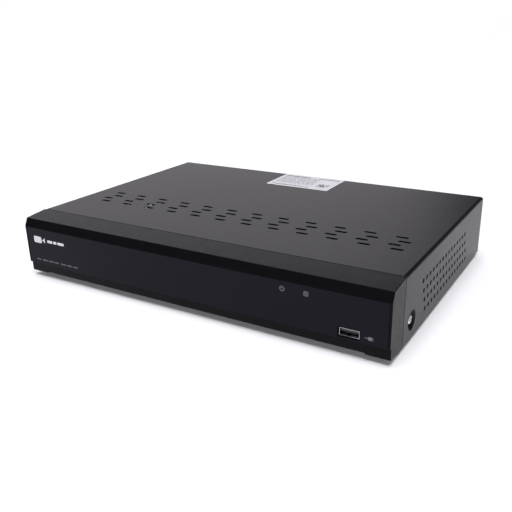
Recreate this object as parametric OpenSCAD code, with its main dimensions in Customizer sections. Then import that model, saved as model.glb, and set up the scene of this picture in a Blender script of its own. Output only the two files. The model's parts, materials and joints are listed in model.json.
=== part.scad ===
// Compact eight-channel video recorder: a folded steel case with a moulded front bezel,
// a main board with its rear connectors, a front board, a 3.5 inch disk drive and a fan.
// Millimetres. +X is the recorder's right as seen from the front, -Y is the front, +Z is up.
// The origin is on the table, under the middle of the whole recorder.

/* [Case] */
// Overall width of the steel case and the bezel
case_w = 300; // [298:0.5:304]
// Depth from the foremost line of the bezel to the rear edge of the cover
case_d = 211; // [211:0.5:216]
// Height of the steel case, without the rubber feet
case_h = 46.7; // [46.5:0.1:50]
// Thickness of the sheet steel
sheet_t = 0.8; // [0.7:0.05:0.9]
// Radius of the cover's long bends
bend_r = 2.3; // [1.2:0.1:3]
// Height of the rubber feet
foot_h = 3; // [2.8:0.1:5]

/* [Bezel] */
// Depth of the bezel, back to the seam with the cover
bezel_d = 21.5; // [21.5:0.1:22]
// Depth of the sloping top strip's front edge behind the foremost line
brow_y = 2.7; // [2:0.1:4]
// How far the top strip falls from the seam to its front edge
brow_drop = 2.1; // [1:0.1:3]
// Height of the dark band's lower edge above the bottom of the case
band_z = 38.7; // [37:0.1:40]
// Height of the step under the gloss panel above the bottom of the case
step_z = 8.9; // [8:0.1:9.4]
// Depth of that step
step_y = 1.7; // [1.4:0.1:2]

/* [Ventilation] */
// Slot groups across the top
slot_groups = 12; // [1:1:12]
// Distance between slot groups
slot_pitch = 22.9; // [18:0.1:22.9]
// Length of a top slot
slot_l = 9; // [5:0.1:10]
// Width of a top slot
slot_w = 3; // [1.5:0.1:3.4]
// Side holes in a row
hole_count = 15; // [4:1:16]
// Distance between side holes in a row
hole_pitch = 7.25; // [5:0.05:7.5]
// Diameter of a side hole
hole_d = 3.4; // [2:0.1:3.6]

/* [Rear connectors] */
// Columns of video sockets, two sockets high
bnc_columns = 4; // [1:1:4]
// Distance between video sockets, across and up
bnc_pitch = 15; // [14.5:0.1:15]
// Length of a video socket behind the rear panel
bnc_reach = 12.1; // [11:0.1:13]

/* [Hidden] */
$fn = 48;
eps = 0.01;
thru = 40;

// Main planes, measured from the foremost line (y) and from the table (z)
case_x = case_w / 2;
z_base = foot_h;
z_floor = z_base + sheet_t;
z_top = z_base + case_h;
z_roof = z_top - sheet_t;
seam_gap = 0.4;
cover_y = bezel_d + seam_gap;
panel_y = case_d - 1.1;
lip_y = case_d - sheet_t;
rear_y = panel_y + bnc_reach;
y_front = -rear_y / 2;

// Cover dimples and the tray's ears behind them
dimple_y = 37.4;
dimple_z = z_base + 12.1;
dimple_r = 7;
dimple_floor_r = 4.6;
dimple_depth = 2.8;
fit_gap = 0.3;
flange_x = case_x - dimple_depth - sheet_t - fit_gap;
flange_h = 6;
ear_w = 17;
ear_top = dimple_z + 7;
m3_r = 1.5;
m3_hole = 1.8;
lip_h = 2.8;
tab_h = 9;
tab_w = 18;
rear_screw_x = 134;
rear_screw_z = z_top - 4.5;
rear_lip_top = z_base + 9;
panel_screw_x = [-140, 52, 136];
panel_screw_z = z_base + 4;

// Bezel
wall = 2;
front_wall_y = bezel_d - 0.8;
pocket_x = case_x - 1.2;
cheek_w = 16;
fascia_gap = 0.3;
fascia_face = 0.15;
usb_x = 124;
usb_z = z_base + 13.2;
usb_hole = [14, 6.4];
usb_shell_half = 6.4;
usb_shell_z = [usb_z - 2.8, usb_z + 2.3];
usb_shell_t = 0.25;
usb_shell_front = 1.4;
usb_shell_back = 12.8;
led_x = [79.5, 95.9];
led_z = z_base + 27.5;
fboard_x = [72, 136];
fboard_z = [z_base + 5.5, z_base + 38.5];
fboard_y = 17.2;
fboard_t = 1.6;
fboard_screw_x = [76, 132];
fboard_screw_z = 37;
bezel_screw_x = [-128, -45, 40, 140.5];
bezel_screw_z = z_base + 34;

// Boards
board_t = 1.6;
board_z = z_floor + 5;
deck = board_z + board_t;
board_x = [-142, 36];
board_y = [96, 206.5];
post_xy = [[-137, 101], [-50, 101], [31, 101], [-137, 181], [-45, 181], [31, 184]];

// Rear connector columns, from the recorder's left to its right
dc_x = -136.5;
terminal_x = -126.5;
lan_x = -113;
usb_rear_x = -97;
hdmi_x = -81.4;
vga_x = -57;
rca_x = -35.2;
bnc_x0 = -21.5;
bnc_z0 = deck + 8;
inner_y = panel_y - sheet_t;
upstand_y = inner_y - 0.1;
socket_y = inner_y - 0.2;
rca_z = [deck + 7, deck + 21];
jack_spacing = 24.99;
vga_z = deck + 6.3;

// Fan
fan_x = 96;
fan_z = z_floor + 23.9;
fan_size = 40;
fan_t = 10;
fan_hole = 16;
fan_bore = 19.1;
fan_hub = 9.8;
shaft_gap = 0.05;

// Disk drive: 3.5 inch outline and bottom hole pattern
hdd_x = [40, 141.6];
hdd_y = [44, 191];
hdd_z = z_floor + 2.2;
hdd_h = 26.1;
lid_t = 1.2;
disk_r = 47.5;
disk_t = 1.3;
spindle = [mean(hdd_x), hdd_y[1] - 50.8];
pivot = [spindle[0] + 20, spindle[1] - 52.2];
arm_l = 48;
arm_angle = 147;
pin_r = 2.5;
disk_levels = [10, 15];
hdd_hole_x = 95.25 / 2;
hdd_hole_y = [41.28, 85.73];

// Feet
foot_r = 8;
foot_xy = [[-124, 34], [124, 34], [-124, 192], [124, 192]];

function mean(v) = (v[0] + v[1]) / 2;
function unit(v) = v / norm(v);
function hermite(p, m, q, n, t) =
    p * (2*t^3 - 3*t^2 + 1) + m * (t^3 - 2*t^2 + t) + q * (3*t^2 - 2*t^3) + n * (t^3 - t^2);
function slope(route, i) =
    let (last = len(route) - 1)
    (route[min(i + 1, last)] - route[max(i - 1, 0)]) / (i == 0 || i == last ? 1 : 2);
// A smooth line through the points of a route, with some steps between each two
function smooth(route, steps) = [
    for (i = [0 : len(route) - 2]) for (k = [0 : steps - 1])
        hermite(route[i], slope(route, i), route[i + 1], slope(route, i + 1), k / steps),
    route[len(route) - 1]
];
function ellipse(a, b, sides) = [for (i = [0 : sides - 1]) [a * cos(360*i/sides), b * sin(360*i/sides)]];
function bar(a, b) = [[a, -b], [a, b], [-a, b], [-a, -b]];

// Puts a shape that is measured from the foremost line into the recorder's frame
module placed() { translate([0, y_front, 0]) children(); }
// A block between two corners
module block(lo, hi) { translate(lo) cube(hi - lo); }
// A (y, z) outline drawn out along X
module along_x(x0, x1) { translate([x0, 0, 0]) rotate([90, 0, 90]) linear_extrude(x1 - x0) children(); }
// An (x, z) outline drawn out along Y
module along_y(y0, y1) { translate([0, y1, 0]) rotate([90, 0, 0]) linear_extrude(y1 - y0) children(); }
// A round bar along Y
module rod_y(x, z, r, y0, y1) { translate([x, y1, z]) rotate([90, 0, 0]) cylinder(r = r, h = y1 - y0); }
module rod_z(x, y, r, z0, z1) { translate([x, y, z0]) cylinder(r = r, h = z1 - z0); }
module obround(l, w) {
    square([l - w, w], center = true);
    for (s = [-1, 1]) translate([s * (l - w) / 2, 0]) circle(d = w);
}
module rounded(w, h, r) {
    square([w - 2*r, h], center = true);
    square([w, h - 2*r], center = true);
    for (sx = [-1, 1], sy = [-1, 1]) translate([sx * (w/2 - r), sy * (h/2 - r)]) circle(r);
}
// Pan head screw: the head stands on z = 0 and the shank hangs below it
module pan_screw(head_r, head_h, shank_r, shank_l) {
    slot = head_r * 0.24;
    difference() {
        union() {
            cylinder(r = head_r, h = head_h * 0.55);
            translate([0, 0, head_h * 0.55 - eps])
                cylinder(r1 = head_r, r2 = head_r * 0.72, h = head_h * 0.45);
        }
        for (a = [0, 90]) rotate([0, 0, a])
            translate([-head_r * 0.62, -slot / 2, head_h * 0.35]) cube([head_r * 1.24, slot, head_h]);
    }
    translate([0, 0, -shank_l]) cylinder(r = shank_r, h = shank_l + eps);
}
module screw_up(x, y, z, l) { translate([x, y, z]) pan_screw(2.75, 1.9, m3_r, l); }
module screw_down(x, y, z, l) { translate([x, y, z]) rotate([180, 0, 0]) pan_screw(2.75, 1.9, m3_r, l); }
module screw_rear(x, y, z, l) { translate([x, y, z]) rotate([-90, 0, 0]) pan_screw(2.75, 1.7, m3_r, l); }
// A cable with one cross-section, standing upright along a line
module sweep(line, outline) {
    n = len(outline);
    last = len(line) - 1;
    rings = [for (i = [0 : last])
        let (t = unit(line[min(i + 1, last)] - line[max(i - 1, 0)]),
             side = unit(cross(t, [0, 0, 1])), up = cross(side, t))
        for (p = outline) line[i] + side * p[0] + up * p[1]];
    skin = [for (i = [0 : last - 1], k = [0 : n - 1])
        let (a = i*n + k, b = i*n + (k + 1) % n) each [[a, b, b + n], [a, b + n, a + n]]];
    ends = [[for (k = [0 : n - 1]) n - 1 - k], [for (k = [0 : n - 1]) last*n + k]];
    polyhedron(points = rings, faces = concat(skin, ends), convexity = 6);
}

// ---- Case ----

// A dimple at the side of the cover, as a cone whose axis points inwards along X
module dimple(extra, from) {
    grow = extra * 0.6;
    translate([case_x - from, dimple_y, dimple_z]) rotate([0, -90, 0])
        cylinder(r1 = dimple_r + grow, r2 = dimple_floor_r + grow, h = dimple_depth + extra - from);
}

module side_holes() {
    row_z = [31.1, 23.5, 16.2, 8.8];
    row_y = [56.6, 59, 61.9, 64.3];
    for (row = [0 : 3], k = [0 : hole_count - 1])
        translate([-case_x - 1, row_y[row] + k * hole_pitch, z_base + row_z[row]])
            rotate([0, 90, 0]) cylinder(d = hole_d, h = case_w + 2);
}

module top_slots() {
    row_y = [62.5, 70.3, 78, 86.1];
    row_shift = [4.5, 0, 4.3, 0];
    first_x = -126.7;
    for (row = [0 : 3], k = [0 : slot_groups - 1])
        translate([first_x + row_shift[row] + k * slot_pitch, row_y[row], z_roof - 1])
            linear_extrude(sheet_t + 2) obround(slot_l, slot_w);
}

// The section of the folded cover: roof, two bends, two sides and the hems under them
module cover_section() {
    hem = 2;
    inner_r = bend_r - sheet_t;
    difference() {
        union() {
            translate([-case_x, z_base]) square([case_w, case_h - bend_r]);
            translate([-case_x + bend_r, z_base]) square([case_w - 2*bend_r, case_h]);
            for (s = [-1, 1]) translate([s * (case_x - bend_r), z_top - bend_r]) circle(bend_r);
        }
        translate([-case_x + sheet_t, z_base + sheet_t])
            square([case_w - 2*sheet_t, case_h - bend_r - sheet_t]);
        translate([-case_x + bend_r, z_base + sheet_t]) square([case_w - 2*bend_r, case_h - 2*sheet_t]);
        for (s = [-1, 1]) translate([s * (case_x - bend_r), z_top - bend_r]) circle(inner_r);
        translate([-case_x + sheet_t + hem, z_base - 1]) square([case_w - 2*(sheet_t + hem), 3]);
    }
}

module top_cover() {
    color([0.07, 0.07, 0.08]) placed() difference() {
        union() {
            along_y(cover_y, case_d) cover_section();
            block([-case_x + bend_r, lip_y, z_top - lip_h], [case_x - bend_r, case_d, z_roof + eps]);
            for (k = [-1 : 1])
                block([k*rear_screw_x - tab_w/2, lip_y, z_top - tab_h],
                      [k*rear_screw_x + tab_w/2, case_d, z_roof + eps]);
            for (s = [0, 1]) mirror([s, 0, 0]) dimple(sheet_t, sheet_t / 2);
        }
        // The hems stop short of the rear panel, so that the cover lifts past it
        block([-case_x + sheet_t, inner_y - 1, z_base - 1], [case_x - sheet_t, case_d + 1, z_floor + eps]);
        top_slots();
        side_holes();
        for (s = [0, 1]) mirror([s, 0, 0]) {
            dimple(0, -eps);
            translate([case_x - 10, dimple_y, dimple_z]) rotate([0, 90, 0]) cylinder(r = m3_hole, h = 10);
        }
        for (k = [-1 : 1]) rod_y(k * rear_screw_x, rear_screw_z, m3_hole, lip_y - 1, case_d + 1);
    }
}

module side_screws() {
    color("silver") placed() for (s = [0, 1]) mirror([s, 0, 0])
        translate([case_x - dimple_depth, dimple_y, dimple_z]) rotate([0, 90, 0])
            pan_screw(3.4, 1.9, m3_r, 7);
}

module rear_cover_screws() {
    color("silver") placed() for (k = [-1 : 1]) screw_rear(k * rear_screw_x, case_d, rear_screw_z, 6);
}

// Side flange of the tray, with the raised ear that takes the cover's screw in an open slot
module tray_flange() {
    difference() {
        union() {
            block([flange_x - sheet_t, cover_y + 2, z_base], [flange_x, panel_y - 1.2, z_base + flange_h]);
            block([flange_x - sheet_t, dimple_y - ear_w/2, z_base], [flange_x, dimple_y + ear_w/2, ear_top]);
        }
        translate([flange_x - 3, dimple_y, dimple_z]) rotate([0, 90, 0]) cylinder(r = m3_hole, h = 6);
        block([flange_x - 3, dimple_y - m3_hole, dimple_z], [flange_x + 3, dimple_y + m3_hole, ear_top + 1]);
    }
}

module base_tray() {
    floor_slots = [for (k = [0 : 9]) -118 + k * 9];
    color([0.6, 0.61, 0.63]) placed() difference() {
        union() {
            block([-flange_x, front_wall_y, z_base], [flange_x, upstand_y, z_floor]);
            block([-flange_x, front_wall_y, z_base], [flange_x, bezel_d, z_top - 3.7]);
            block([-flange_x, upstand_y - sheet_t, z_base], [flange_x, upstand_y, rear_lip_top]);
            for (s = [0, 1]) mirror([s, 0, 0]) tray_flange();
            for (x = [-1, 1], y = hdd_hole_y)
                rod_z(mean(hdd_x) + x*hdd_hole_x, hdd_y[0] + y, 5, z_base, hdd_z);
        }
        // Window behind the front board
        block([fboard_x[0] - 2, bezel_d - 3, z_base + 4], [fboard_x[1] + 2, bezel_d + 1, z_base + 40]);
        for (x = bezel_screw_x) rod_y(x, bezel_screw_z, m3_hole, bezel_d - 3, bezel_d + 1);
        for (x = [-1, 1], y = hdd_hole_y)
            rod_z(mean(hdd_x) + x*hdd_hole_x, hdd_y[0] + y, m3_hole, z_base - 1, hdd_z + 1);
        for (p = post_xy) rod_z(p[0], p[1], m3_hole, z_base - 1, z_floor + 1);
        for (x = floor_slots, y = [120, 160])
            translate([x, y, z_base - 1]) rotate([0, 0, 90]) linear_extrude(3) obround(22, 3);
        // The rear upstand stops at the fan and makes room for the connectors
        block([fan_x - 22, inner_y - 1, z_floor], [fan_x + 22, panel_y + 1, z_floor + 20]);
        block([board_x[0] - 1, inner_y - 1, board_z - 0.5], [board_x[1] + 1, panel_y, z_floor + 20]);
        for (x = panel_screw_x) rod_y(x, panel_screw_z, m3_hole, inner_y - 2, panel_y + 1);
    }
}
module fan_grille() {
    pitch = 4.7;
    for (i = [-4 : 4], j = [-4 : 4])
        let (x = (i + (j % 2 == 0 ? 0 : 0.5)) * pitch, z = j * pitch * sqrt(3) / 2)
        if (norm([x, z]) < 17.2) rod_y(fan_x + x, fan_z + z, 1.75, inner_y - 2, panel_y + 2);
}

module d_outline(w, h, r, lean) {
    polygon([[-w/2 + lean, -h/2], [w/2 - lean, -h/2], [w/2, h/2 - r], [w/2 - r, h/2],
             [-w/2 + r, h/2], [-w/2, h/2 - r]]);
}

module rear_panel() {
    edge_x = case_x - sheet_t - fit_gap;
    top = z_roof - fit_gap;
    corner = bend_r - 0.4;
    color([0.1, 0.1, 0.11]) placed() difference() {
        union() {
            along_y(inner_y, panel_y)
                polygon([[-edge_x, z_base + 0.2], [edge_x, z_base + 0.2], [edge_x, top - corner],
                         [edge_x - corner, top], [-edge_x + corner, top], [-edge_x, top - corner]]);
            block([-edge_x + corner, panel_y - 7, top - sheet_t], [edge_x - corner, panel_y, top]);
        }
        // Open slots for the cover's screws
        for (k = [-1 : 1]) {
            rod_y(k * rear_screw_x, rear_screw_z, m3_hole, inner_y - 1, panel_y + 1);
            block([k*rear_screw_x - m3_hole, panel_y - 8, rear_screw_z],
                  [k*rear_screw_x + m3_hole, panel_y + 1, z_top]);
        }
        for (x = panel_screw_x) rod_y(x, panel_screw_z, m3_hole, inner_y - 1, panel_y + 1);
        fan_grille();
        for (x = [-1, 1], z = [-1, 1])
            rod_y(fan_x + x*fan_hole, fan_z + z*fan_hole, m3_hole, inner_y - 1, panel_y + 1);
        for (k = [0 : bnc_columns - 1], z = [0, 1])
            rod_y(bnc_x0 + k*bnc_pitch, bnc_z0 + z*bnc_pitch, 5.9, inner_y - 1, panel_y + 1);
        for (z = rca_z) rod_y(rca_x, z, 5.5, inner_y - 1, panel_y + 1);
        translate([vga_x, 0, vga_z]) along_y(inner_y - 1, panel_y + 1) d_outline(18.2, 9.8, 2.2, 1.2);
        for (s = [-1, 1]) rod_y(vga_x + s*jack_spacing/2, vga_z, 1.9, inner_y - 1, panel_y + 1);
        cut_box(hdmi_x, deck - 0.3, 15.2, 6.4);
        cut_box(usb_rear_x, deck - 0.3, 14.3, 16.3);
        cut_box(lan_x, deck - 0.3, 16.6, 14.1);
        cut_box(terminal_x, deck - 0.3, 9.3, 9.1);
        cut_box(dc_x, deck - 0.3, 9.6, 11.6);
    }
}
// A rectangular opening in the rear panel, standing on the height z
module cut_box(x, z, w, h) { block([x - w/2, inner_y - 1, z], [x + w/2, panel_y + 1, z + h]); }

// All the screws that hold the case, the bezel and the boards together
module case_screws() {
    color("silver") placed() {
        for (x = panel_screw_x) screw_rear(x, panel_y, panel_screw_z, 3.2);
        for (x = bezel_screw_x) screw_rear(x, bezel_d, bezel_screw_z, 8);
        for (x = fboard_screw_x) screw_rear(x, fboard_y + fboard_t, fboard_screw_z, 6);
        for (p = post_xy) {
            screw_up(p[0], p[1], deck, 4);
            screw_down(p[0], p[1], z_base, 3);
        }
    }
}

// ---- Bezel ----

brow = [brow_y, z_top - brow_drop];
band = [0, z_base + band_z];
step = [0, z_base + step_z];

module bezel() {
    lower_z = z_base + 2;
    gap_y = bezel_d - 0.9;
    outline = [[bezel_d, z_top], brow, band, step, [step_y, step[1]], [step_y, lower_z], [bezel_d, lower_z]];
    cheek = [[bezel_d, z_top], brow, band, step, [step_y, step[1]],
             [step_y, z_base + 1.2], [bezel_d, z_base - 0.9]];
    hollow = [[bezel_d + 1, z_top - wall], [brow_y + 1.6, z_top - brow_drop - wall],
              [wall + 1.3, band[1] - 2],
              [wall + 1.3, lower_z + wall], [bezel_d + 1, lower_z + wall]];
    color([0.05, 0.05, 0.055]) placed() {
        difference() {
            union() {
                along_x(-case_x, case_x) polygon(outline);
                for (s = [0, 1]) mirror([s, 0, 0]) {
                    along_x(case_x - 2.2, case_x) polygon(cheek);
                    along_x(case_x - cheek_w, case_x - 2.2)
                        polygon([[step_y, step[1]], [step_y, z_base + 1.2],
                                 [gap_y, z_base - 0.8], [gap_y, lower_z + 1]]);
                }
            }
            along_x(-case_x + 2.2, case_x - 2.2) polygon(hollow);
            block([-case_x + 2.2, gap_y, z_base - 2], [case_x - 2.2, bezel_d + 1, z_top - wall]);
            block([-pocket_x, -1, z_base - 1], [pocket_x, step_y, band[1] - 0.2]);
            block([usb_x - usb_hole[0]/2, -1, usb_z - usb_hole[1]/2],
                  [usb_x + usb_hole[0]/2, 6, usb_z + usb_hole[1]/2]);
            for (x = led_x) rod_y(x, led_z, 1.7, 0, 6);
        }
        // Lip that carries the cover's front edge, with a seat at the front wall
        block([-case_x + 8, bezel_d - 1, z_top - 3], [case_x - 8, bezel_d + 5, z_roof - fit_gap]);
        // Posts for the front wall's screws and for the front board
        for (x = bezel_screw_x) boss(x, bezel_screw_z, 3.6, front_wall_y - 0.1);
        for (x = fboard_screw_x) boss(x, fboard_screw_z, 2.6, fboard_y);
    }
}
module boss(x, z, r, end_y) {
    difference() {
        rod_y(x, z, r, wall + 1.2, end_y);
        rod_y(x, z, m3_r + 0.05, end_y - 9, end_y + 1);
    }
}

// Gloss panel on the front of the bezel, with the opening for the data socket
module fascia() {
    color([0.02, 0.02, 0.025]) placed() difference() {
        block([-pocket_x + fascia_gap, fascia_face, step[1]],
              [pocket_x - fascia_gap, step_y - 0.05, band[1] - 0.2 - fascia_gap]);
        block([usb_x - usb_hole[0]/2, -1, usb_z - usb_hole[1]/2],
              [usb_x + usb_hole[0]/2, 5, usb_z + usb_hole[1]/2]);
    }
}

module rating_label() {
    color("whitesmoke") placed()
        translate([-1.3, 190.9, z_top]) linear_extrude(0.15) rounded(59.4, 38.6, 1);
}

module rubber_feet() {
    color([0.08, 0.08, 0.08]) placed() for (p = foot_xy) difference() {
        translate([p[0], p[1], 0]) cylinder(r1 = foot_r - 0.8, r2 = foot_r, h = z_base);
        translate([p[0], p[1], -eps]) cylinder(r1 = 4.2, r2 = 3.6, h = 1);
    }
}

// ---- Main board ----

module plate_with_holes(x, y, z, t, holes) {
    difference() {
        block([x[0], y[0], z], [x[1], y[1], z + t]);
        for (p = holes) rod_z(p[0], p[1], m3_r + 0.15, z - 1, z + t + 1);
    }
}
// A chip standing on the board, with a pin-one dimple
module chip(x, y, w, d, h) {
    difference() {
        block([x - w/2, y - d/2, deck], [x + w/2, y + d/2, deck + h]);
        rod_z(x - w/2 + 1.6, y - d/2 + 1.6, 0.6, deck + h - 0.15, deck + h + 1);
    }
}

module main_board() {
    color([0.05, 0.3, 0.14]) placed() plate_with_holes(board_x, board_y, board_z, board_t, post_xy);
}

module board_standoffs() {
    color("goldenrod") placed() for (p = post_xy) difference() {
        translate([p[0], p[1], z_floor]) cylinder(r = 3.2, h = board_z - z_floor, $fn = 6);
        rod_z(p[0], p[1], m3_r + 0.05, z_floor - 1, board_z + 1);
    }
}

soc = [-62, 138];
soc_w = 23;
soc_h = 2;
module processor() { color([0.12, 0.12, 0.12]) placed() chip(soc[0], soc[1], soc_w, soc_w, soc_h); }

module heatsink() {
    fins = 10;
    w = 32;
    base_h = 2.4;
    fin_t = 1.1;
    fin_h = 9;
    color([0.7, 0.71, 0.73]) placed() translate([soc[0] - w/2, soc[1] - w/2, deck + soc_h]) {
        cube([w, w, base_h]);
        for (k = [0 : fins - 1]) translate([k * (w - fin_t) / (fins - 1), 0, base_h - eps])
            cube([fin_t, w, fin_h]);
    }
}
module memory_chips() {
    color([0.13, 0.13, 0.13]) placed() for (x = [-30, -16], y = [131, 146]) chip(x, y, 9, 12.5, 1.2);
}
module video_decoders() {
    color([0.13, 0.13, 0.13]) placed() for (x = [-14, 16]) chip(x, 170, 14, 14, 1.4);
}
cap_xy = [[-134, 166], [-134, 155], [-128, 177], [-104, 118], [-93, 118], [4, 112]];
module capacitors() {
    color([0.15, 0.2, 0.35]) placed() for (p = cap_xy) difference() {
        rod_z(p[0], p[1], 4, deck, deck + 11.5);
        rod_z(p[0], p[1], 3.2, deck + 11.3, deck + 12);
    }
}
module inductors() {
    color([0.25, 0.25, 0.26]) placed() for (y = [133, 146, 159]) translate([-104, y, deck])
        linear_extrude(4.6) rounded(10, 10, 1.6);
}
cell_xy = [-124, 118];
module cell_holder() {
    color([0.1, 0.1, 0.1]) placed() translate([cell_xy[0], cell_xy[1], deck]) difference() {
        union() {
            cylinder(r = 11.6, h = 5);
            translate([-12.5, -5, 0]) cube([25, 10, 5]);
        }
        translate([0, 0, 1.2]) cylinder(r = 10.1, h = 6);
        translate([-4, -14, 1.2]) cube([8, 14, 6]);
    }
}
module coin_cell() {
    color("silver") placed() translate([cell_xy[0], cell_xy[1], deck + 1.2]) {
        cylinder(r = 10, h = 2.6);
        translate([0, 0, 2.6 - eps]) cylinder(r1 = 9.6, r2 = 9.2, h = 0.6);
    }
}
module lan_transformer() {
    color([0.12, 0.12, 0.12]) placed() block([lan_x - 8, 170, deck], [lan_x + 8, 181, deck + 6.2]);
}
module buzzer() {
    color([0.1, 0.1, 0.1]) placed() difference() {
        rod_z(-38, 112, 6, deck, deck + 8.5);
        rod_z(-38, 112, 1.2, deck + 6, deck + 9);
    }
}

// Sockets on the board for the plugs, open at their mouths
data_port = [14, 99];
power_port = [-7, 99];
front_port = [-23, 99];
fan_port = [29.5, 172];
port_depth = 6;
module port(x, y, w, h) {
    difference() {
        block([x - w/2, y - 3, deck], [x + w/2, y - 3 + port_depth, deck + h]);
        block([x - w/2 + 1, y - 4, deck + 1], [x + w/2 - 1, y - 3 + port_depth - 1.5, deck + h - 1]);
    }
}
module board_headers() {
    color("ivory") placed() {
        port(data_port[0], data_port[1], 13, 7);
        port(power_port[0], power_port[1], 12, 8);
        port(front_port[0], front_port[1], 13, 8);
        port(fan_port[0], fan_port[1], 7.4, 7);
    }
}

// ---- Rear connectors ----

bnc_x = [for (k = [0 : bnc_columns - 1]) bnc_x0 + k * bnc_pitch];
bnc_z = [bnc_z0, bnc_z0 + bnc_pitch];
shell_r = 4.8;
shell_bore = 4.05;
module bnc_housing() {
    color([0.06, 0.06, 0.06]) placed()
        block([bnc_x[0] - 7.4, 191, deck], [bnc_x[bnc_columns - 1] + 7.4, socket_y, bnc_z[1] + 7.6]);
}
module bnc_shells() {
    lug_y = rear_y - 4.6;
    color("silver") placed() for (x = bnc_x, z = bnc_z) difference() {
        union() {
            rod_y(x, z, shell_r, socket_y, rear_y);
            rod_y(x, z, 5.6, socket_y, socket_y + 1.6);
            translate([x - 5.5, lug_y, z]) rotate([0, 90, 0]) cylinder(r = 0.95, h = 11);
        }
        rod_y(x, z, shell_bore, socket_y + 1, rear_y + 1);
    }
}
module bnc_insulators() {
    color("white") placed() for (x = bnc_x, z = bnc_z) difference() {
        union() {
            rod_y(x, z, shell_bore - 0.05, socket_y + 1, socket_y + 2.6);
            rod_y(x, z, 2.4, socket_y + 2, rear_y - 1.6);
        }
        rod_y(x, z, 1.15, socket_y, rear_y);
    }
}
module bnc_contacts() {
    color("gold") placed() for (x = bnc_x, z = bnc_z) difference() {
        rod_y(x, z, 1.1, socket_y + 1, rear_y - 1.8);
        rod_y(x, z, 0.68, socket_y + 4, rear_y);
    }
}

rca_reach = 9.5;
rca_root = panel_y + 0.5;
rca_bore = 3.5;
module rca_housing() {
    color([0.06, 0.06, 0.06]) placed() difference() {
        union() {
            block([rca_x - 5, 195, deck], [rca_x + 5, socket_y, rca_z[1] + 6.5]);
            for (z = rca_z) rod_y(rca_x, z, 5.2, socket_y - eps, rca_root);
        }
        for (z = rca_z) rod_y(rca_x, z, rca_bore, socket_y + 1, rca_root + 1);
    }
}
module rca_shells() {
    color("silver") placed() for (z = rca_z) difference() {
        rod_y(rca_x, z, 4.15, rca_root, socket_y + rca_reach);
        rod_y(rca_x, z, rca_bore, socket_y + 1, socket_y + rca_reach + 1);
    }
}
module rca_inserts() {
    color("white") placed() for (z = rca_z) difference() {
        rod_y(rca_x, z, rca_bore - 0.05, socket_y + 1, socket_y + rca_reach - 0.8);
        rod_y(rca_x, z, 1.6, socket_y + 1.6, socket_y + rca_reach);
    }
}

module vga_socket() {
    color("silver") placed() translate([vga_x, 0, vga_z]) {
        // Body on the board, mounting plate, and the shell through the panel
        block([-15.4, 197, deck - vga_z], [15.4, socket_y - 0.8, 6]);
        difference() {
            union() {
                along_y(socket_y - 0.8, socket_y) square([30.8, 12], center = true);
                along_y(socket_y - eps, panel_y + 5) d_outline(17, 8.6, 2, 1.2);
            }
            along_y(socket_y - 0.4, panel_y + 6) d_outline(16.2, 7.8, 1.8, 1.1);
            for (s = [-1, 1]) rod_y(s * jack_spacing / 2, 0, 1.3, socket_y - 2, socket_y + 1);
        }
    }
}
module vga_insert() {
    color([0.05, 0.16, 0.55]) placed() translate([vga_x, 0, vga_z]) difference() {
        along_y(socket_y - 0.35, panel_y + 3.8) d_outline(15.9, 7.5, 1.7, 1.1);
        for (row = [-1 : 1], k = [-2 : 2])
            rod_y(k * 2.29 + (row == 0 ? 0 : 1.14), row * 1.98, 0.5, panel_y - 0.5, panel_y + 4.5);
    }
}
module vga_jackscrews() {
    color("silver") placed() for (s = [-1, 1]) difference() {
        translate([vga_x + s * jack_spacing / 2, 0, vga_z]) {
            translate([0, panel_y + 5, 0]) rotate([90, 0, 0]) cylinder(r = 2.7, h = 5, $fn = 6);
            rod_y(0, 0, 1.25, socket_y - 0.7, panel_y + 1);
        }
        rod_y(vga_x + s * jack_spacing / 2, vga_z, 1.12, panel_y - 0.5, panel_y + 6);
    }
}
// A folded metal shell around a socket's mouth, with its width, height and wall
module shell_box(x, z, w, h, t, y0, y1, back) {
    difference() {
        block([x - w/2, y0, z], [x + w/2, y1, z + h]);
        block([x - w/2 + t, y0 + back, z + t], [x + w/2 - t, y1 + 1, z + h - t]);
    }
}
module hdmi_socket() {
    color("silver") placed() shell_box(hdmi_x, deck, 14.6, 5.8, 0.45, 198, panel_y + 0.6, 2);
}
usb_levels = [deck + 0.4, deck + 8.8];
module usb_sockets() {
    color("silver") placed() difference() {
        block([usb_rear_x - 6.8, 193, deck], [usb_rear_x + 6.8, panel_y + 0.8, deck + 15.6]);
        for (z = usb_levels)
            block([usb_rear_x - 6.2, 196, z + 0.4], [usb_rear_x + 6.2, panel_y + 2, z + 5.9]);
    }
}
// The flat contact tongues inside the USB and HDMI sockets
module socket_tongues() {
    color([0.1, 0.1, 0.1]) placed() {
        for (z = usb_levels)
            block([usb_rear_x - 5.6, 196, z + 3.6], [usb_rear_x + 5.6, panel_y - 0.4, z + 5.4]);
        block([hdmi_x - 5, 200, deck + 2.4], [hdmi_x + 5, panel_y - 0.6, deck + 3.4]);
        block([usb_x - 5.5, 2.6, usb_z - 0.1], [usb_x + 5.5, usb_shell_back, usb_z + 1.7]);
    }
}
lan_h = 13.4;
module lan_socket() {
    color("silver") placed() shell_box(lan_x, deck, 16, lan_h, 0.4, 189, panel_y + 0.6, 0.4);
}
module lan_insert() {
    mouth = [11.9, 7.4];
    color([0.1, 0.1, 0.1]) placed() difference() {
        block([lan_x - 7.55, 189.45, deck + 0.45], [lan_x + 7.55, panel_y + 0.3, deck + lan_h - 0.45]);
        translate([lan_x, 0, deck]) {
            block([-mouth[0]/2, 197, 4.2], [mouth[0]/2, panel_y + 2, 4.2 + mouth[1]]);
            block([-3.4, 199, 2.2], [3.4, panel_y + 2, 5]);
            block([-1.8, 199, 1.2], [1.8, panel_y + 2, 3]);
        }
    }
}
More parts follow.
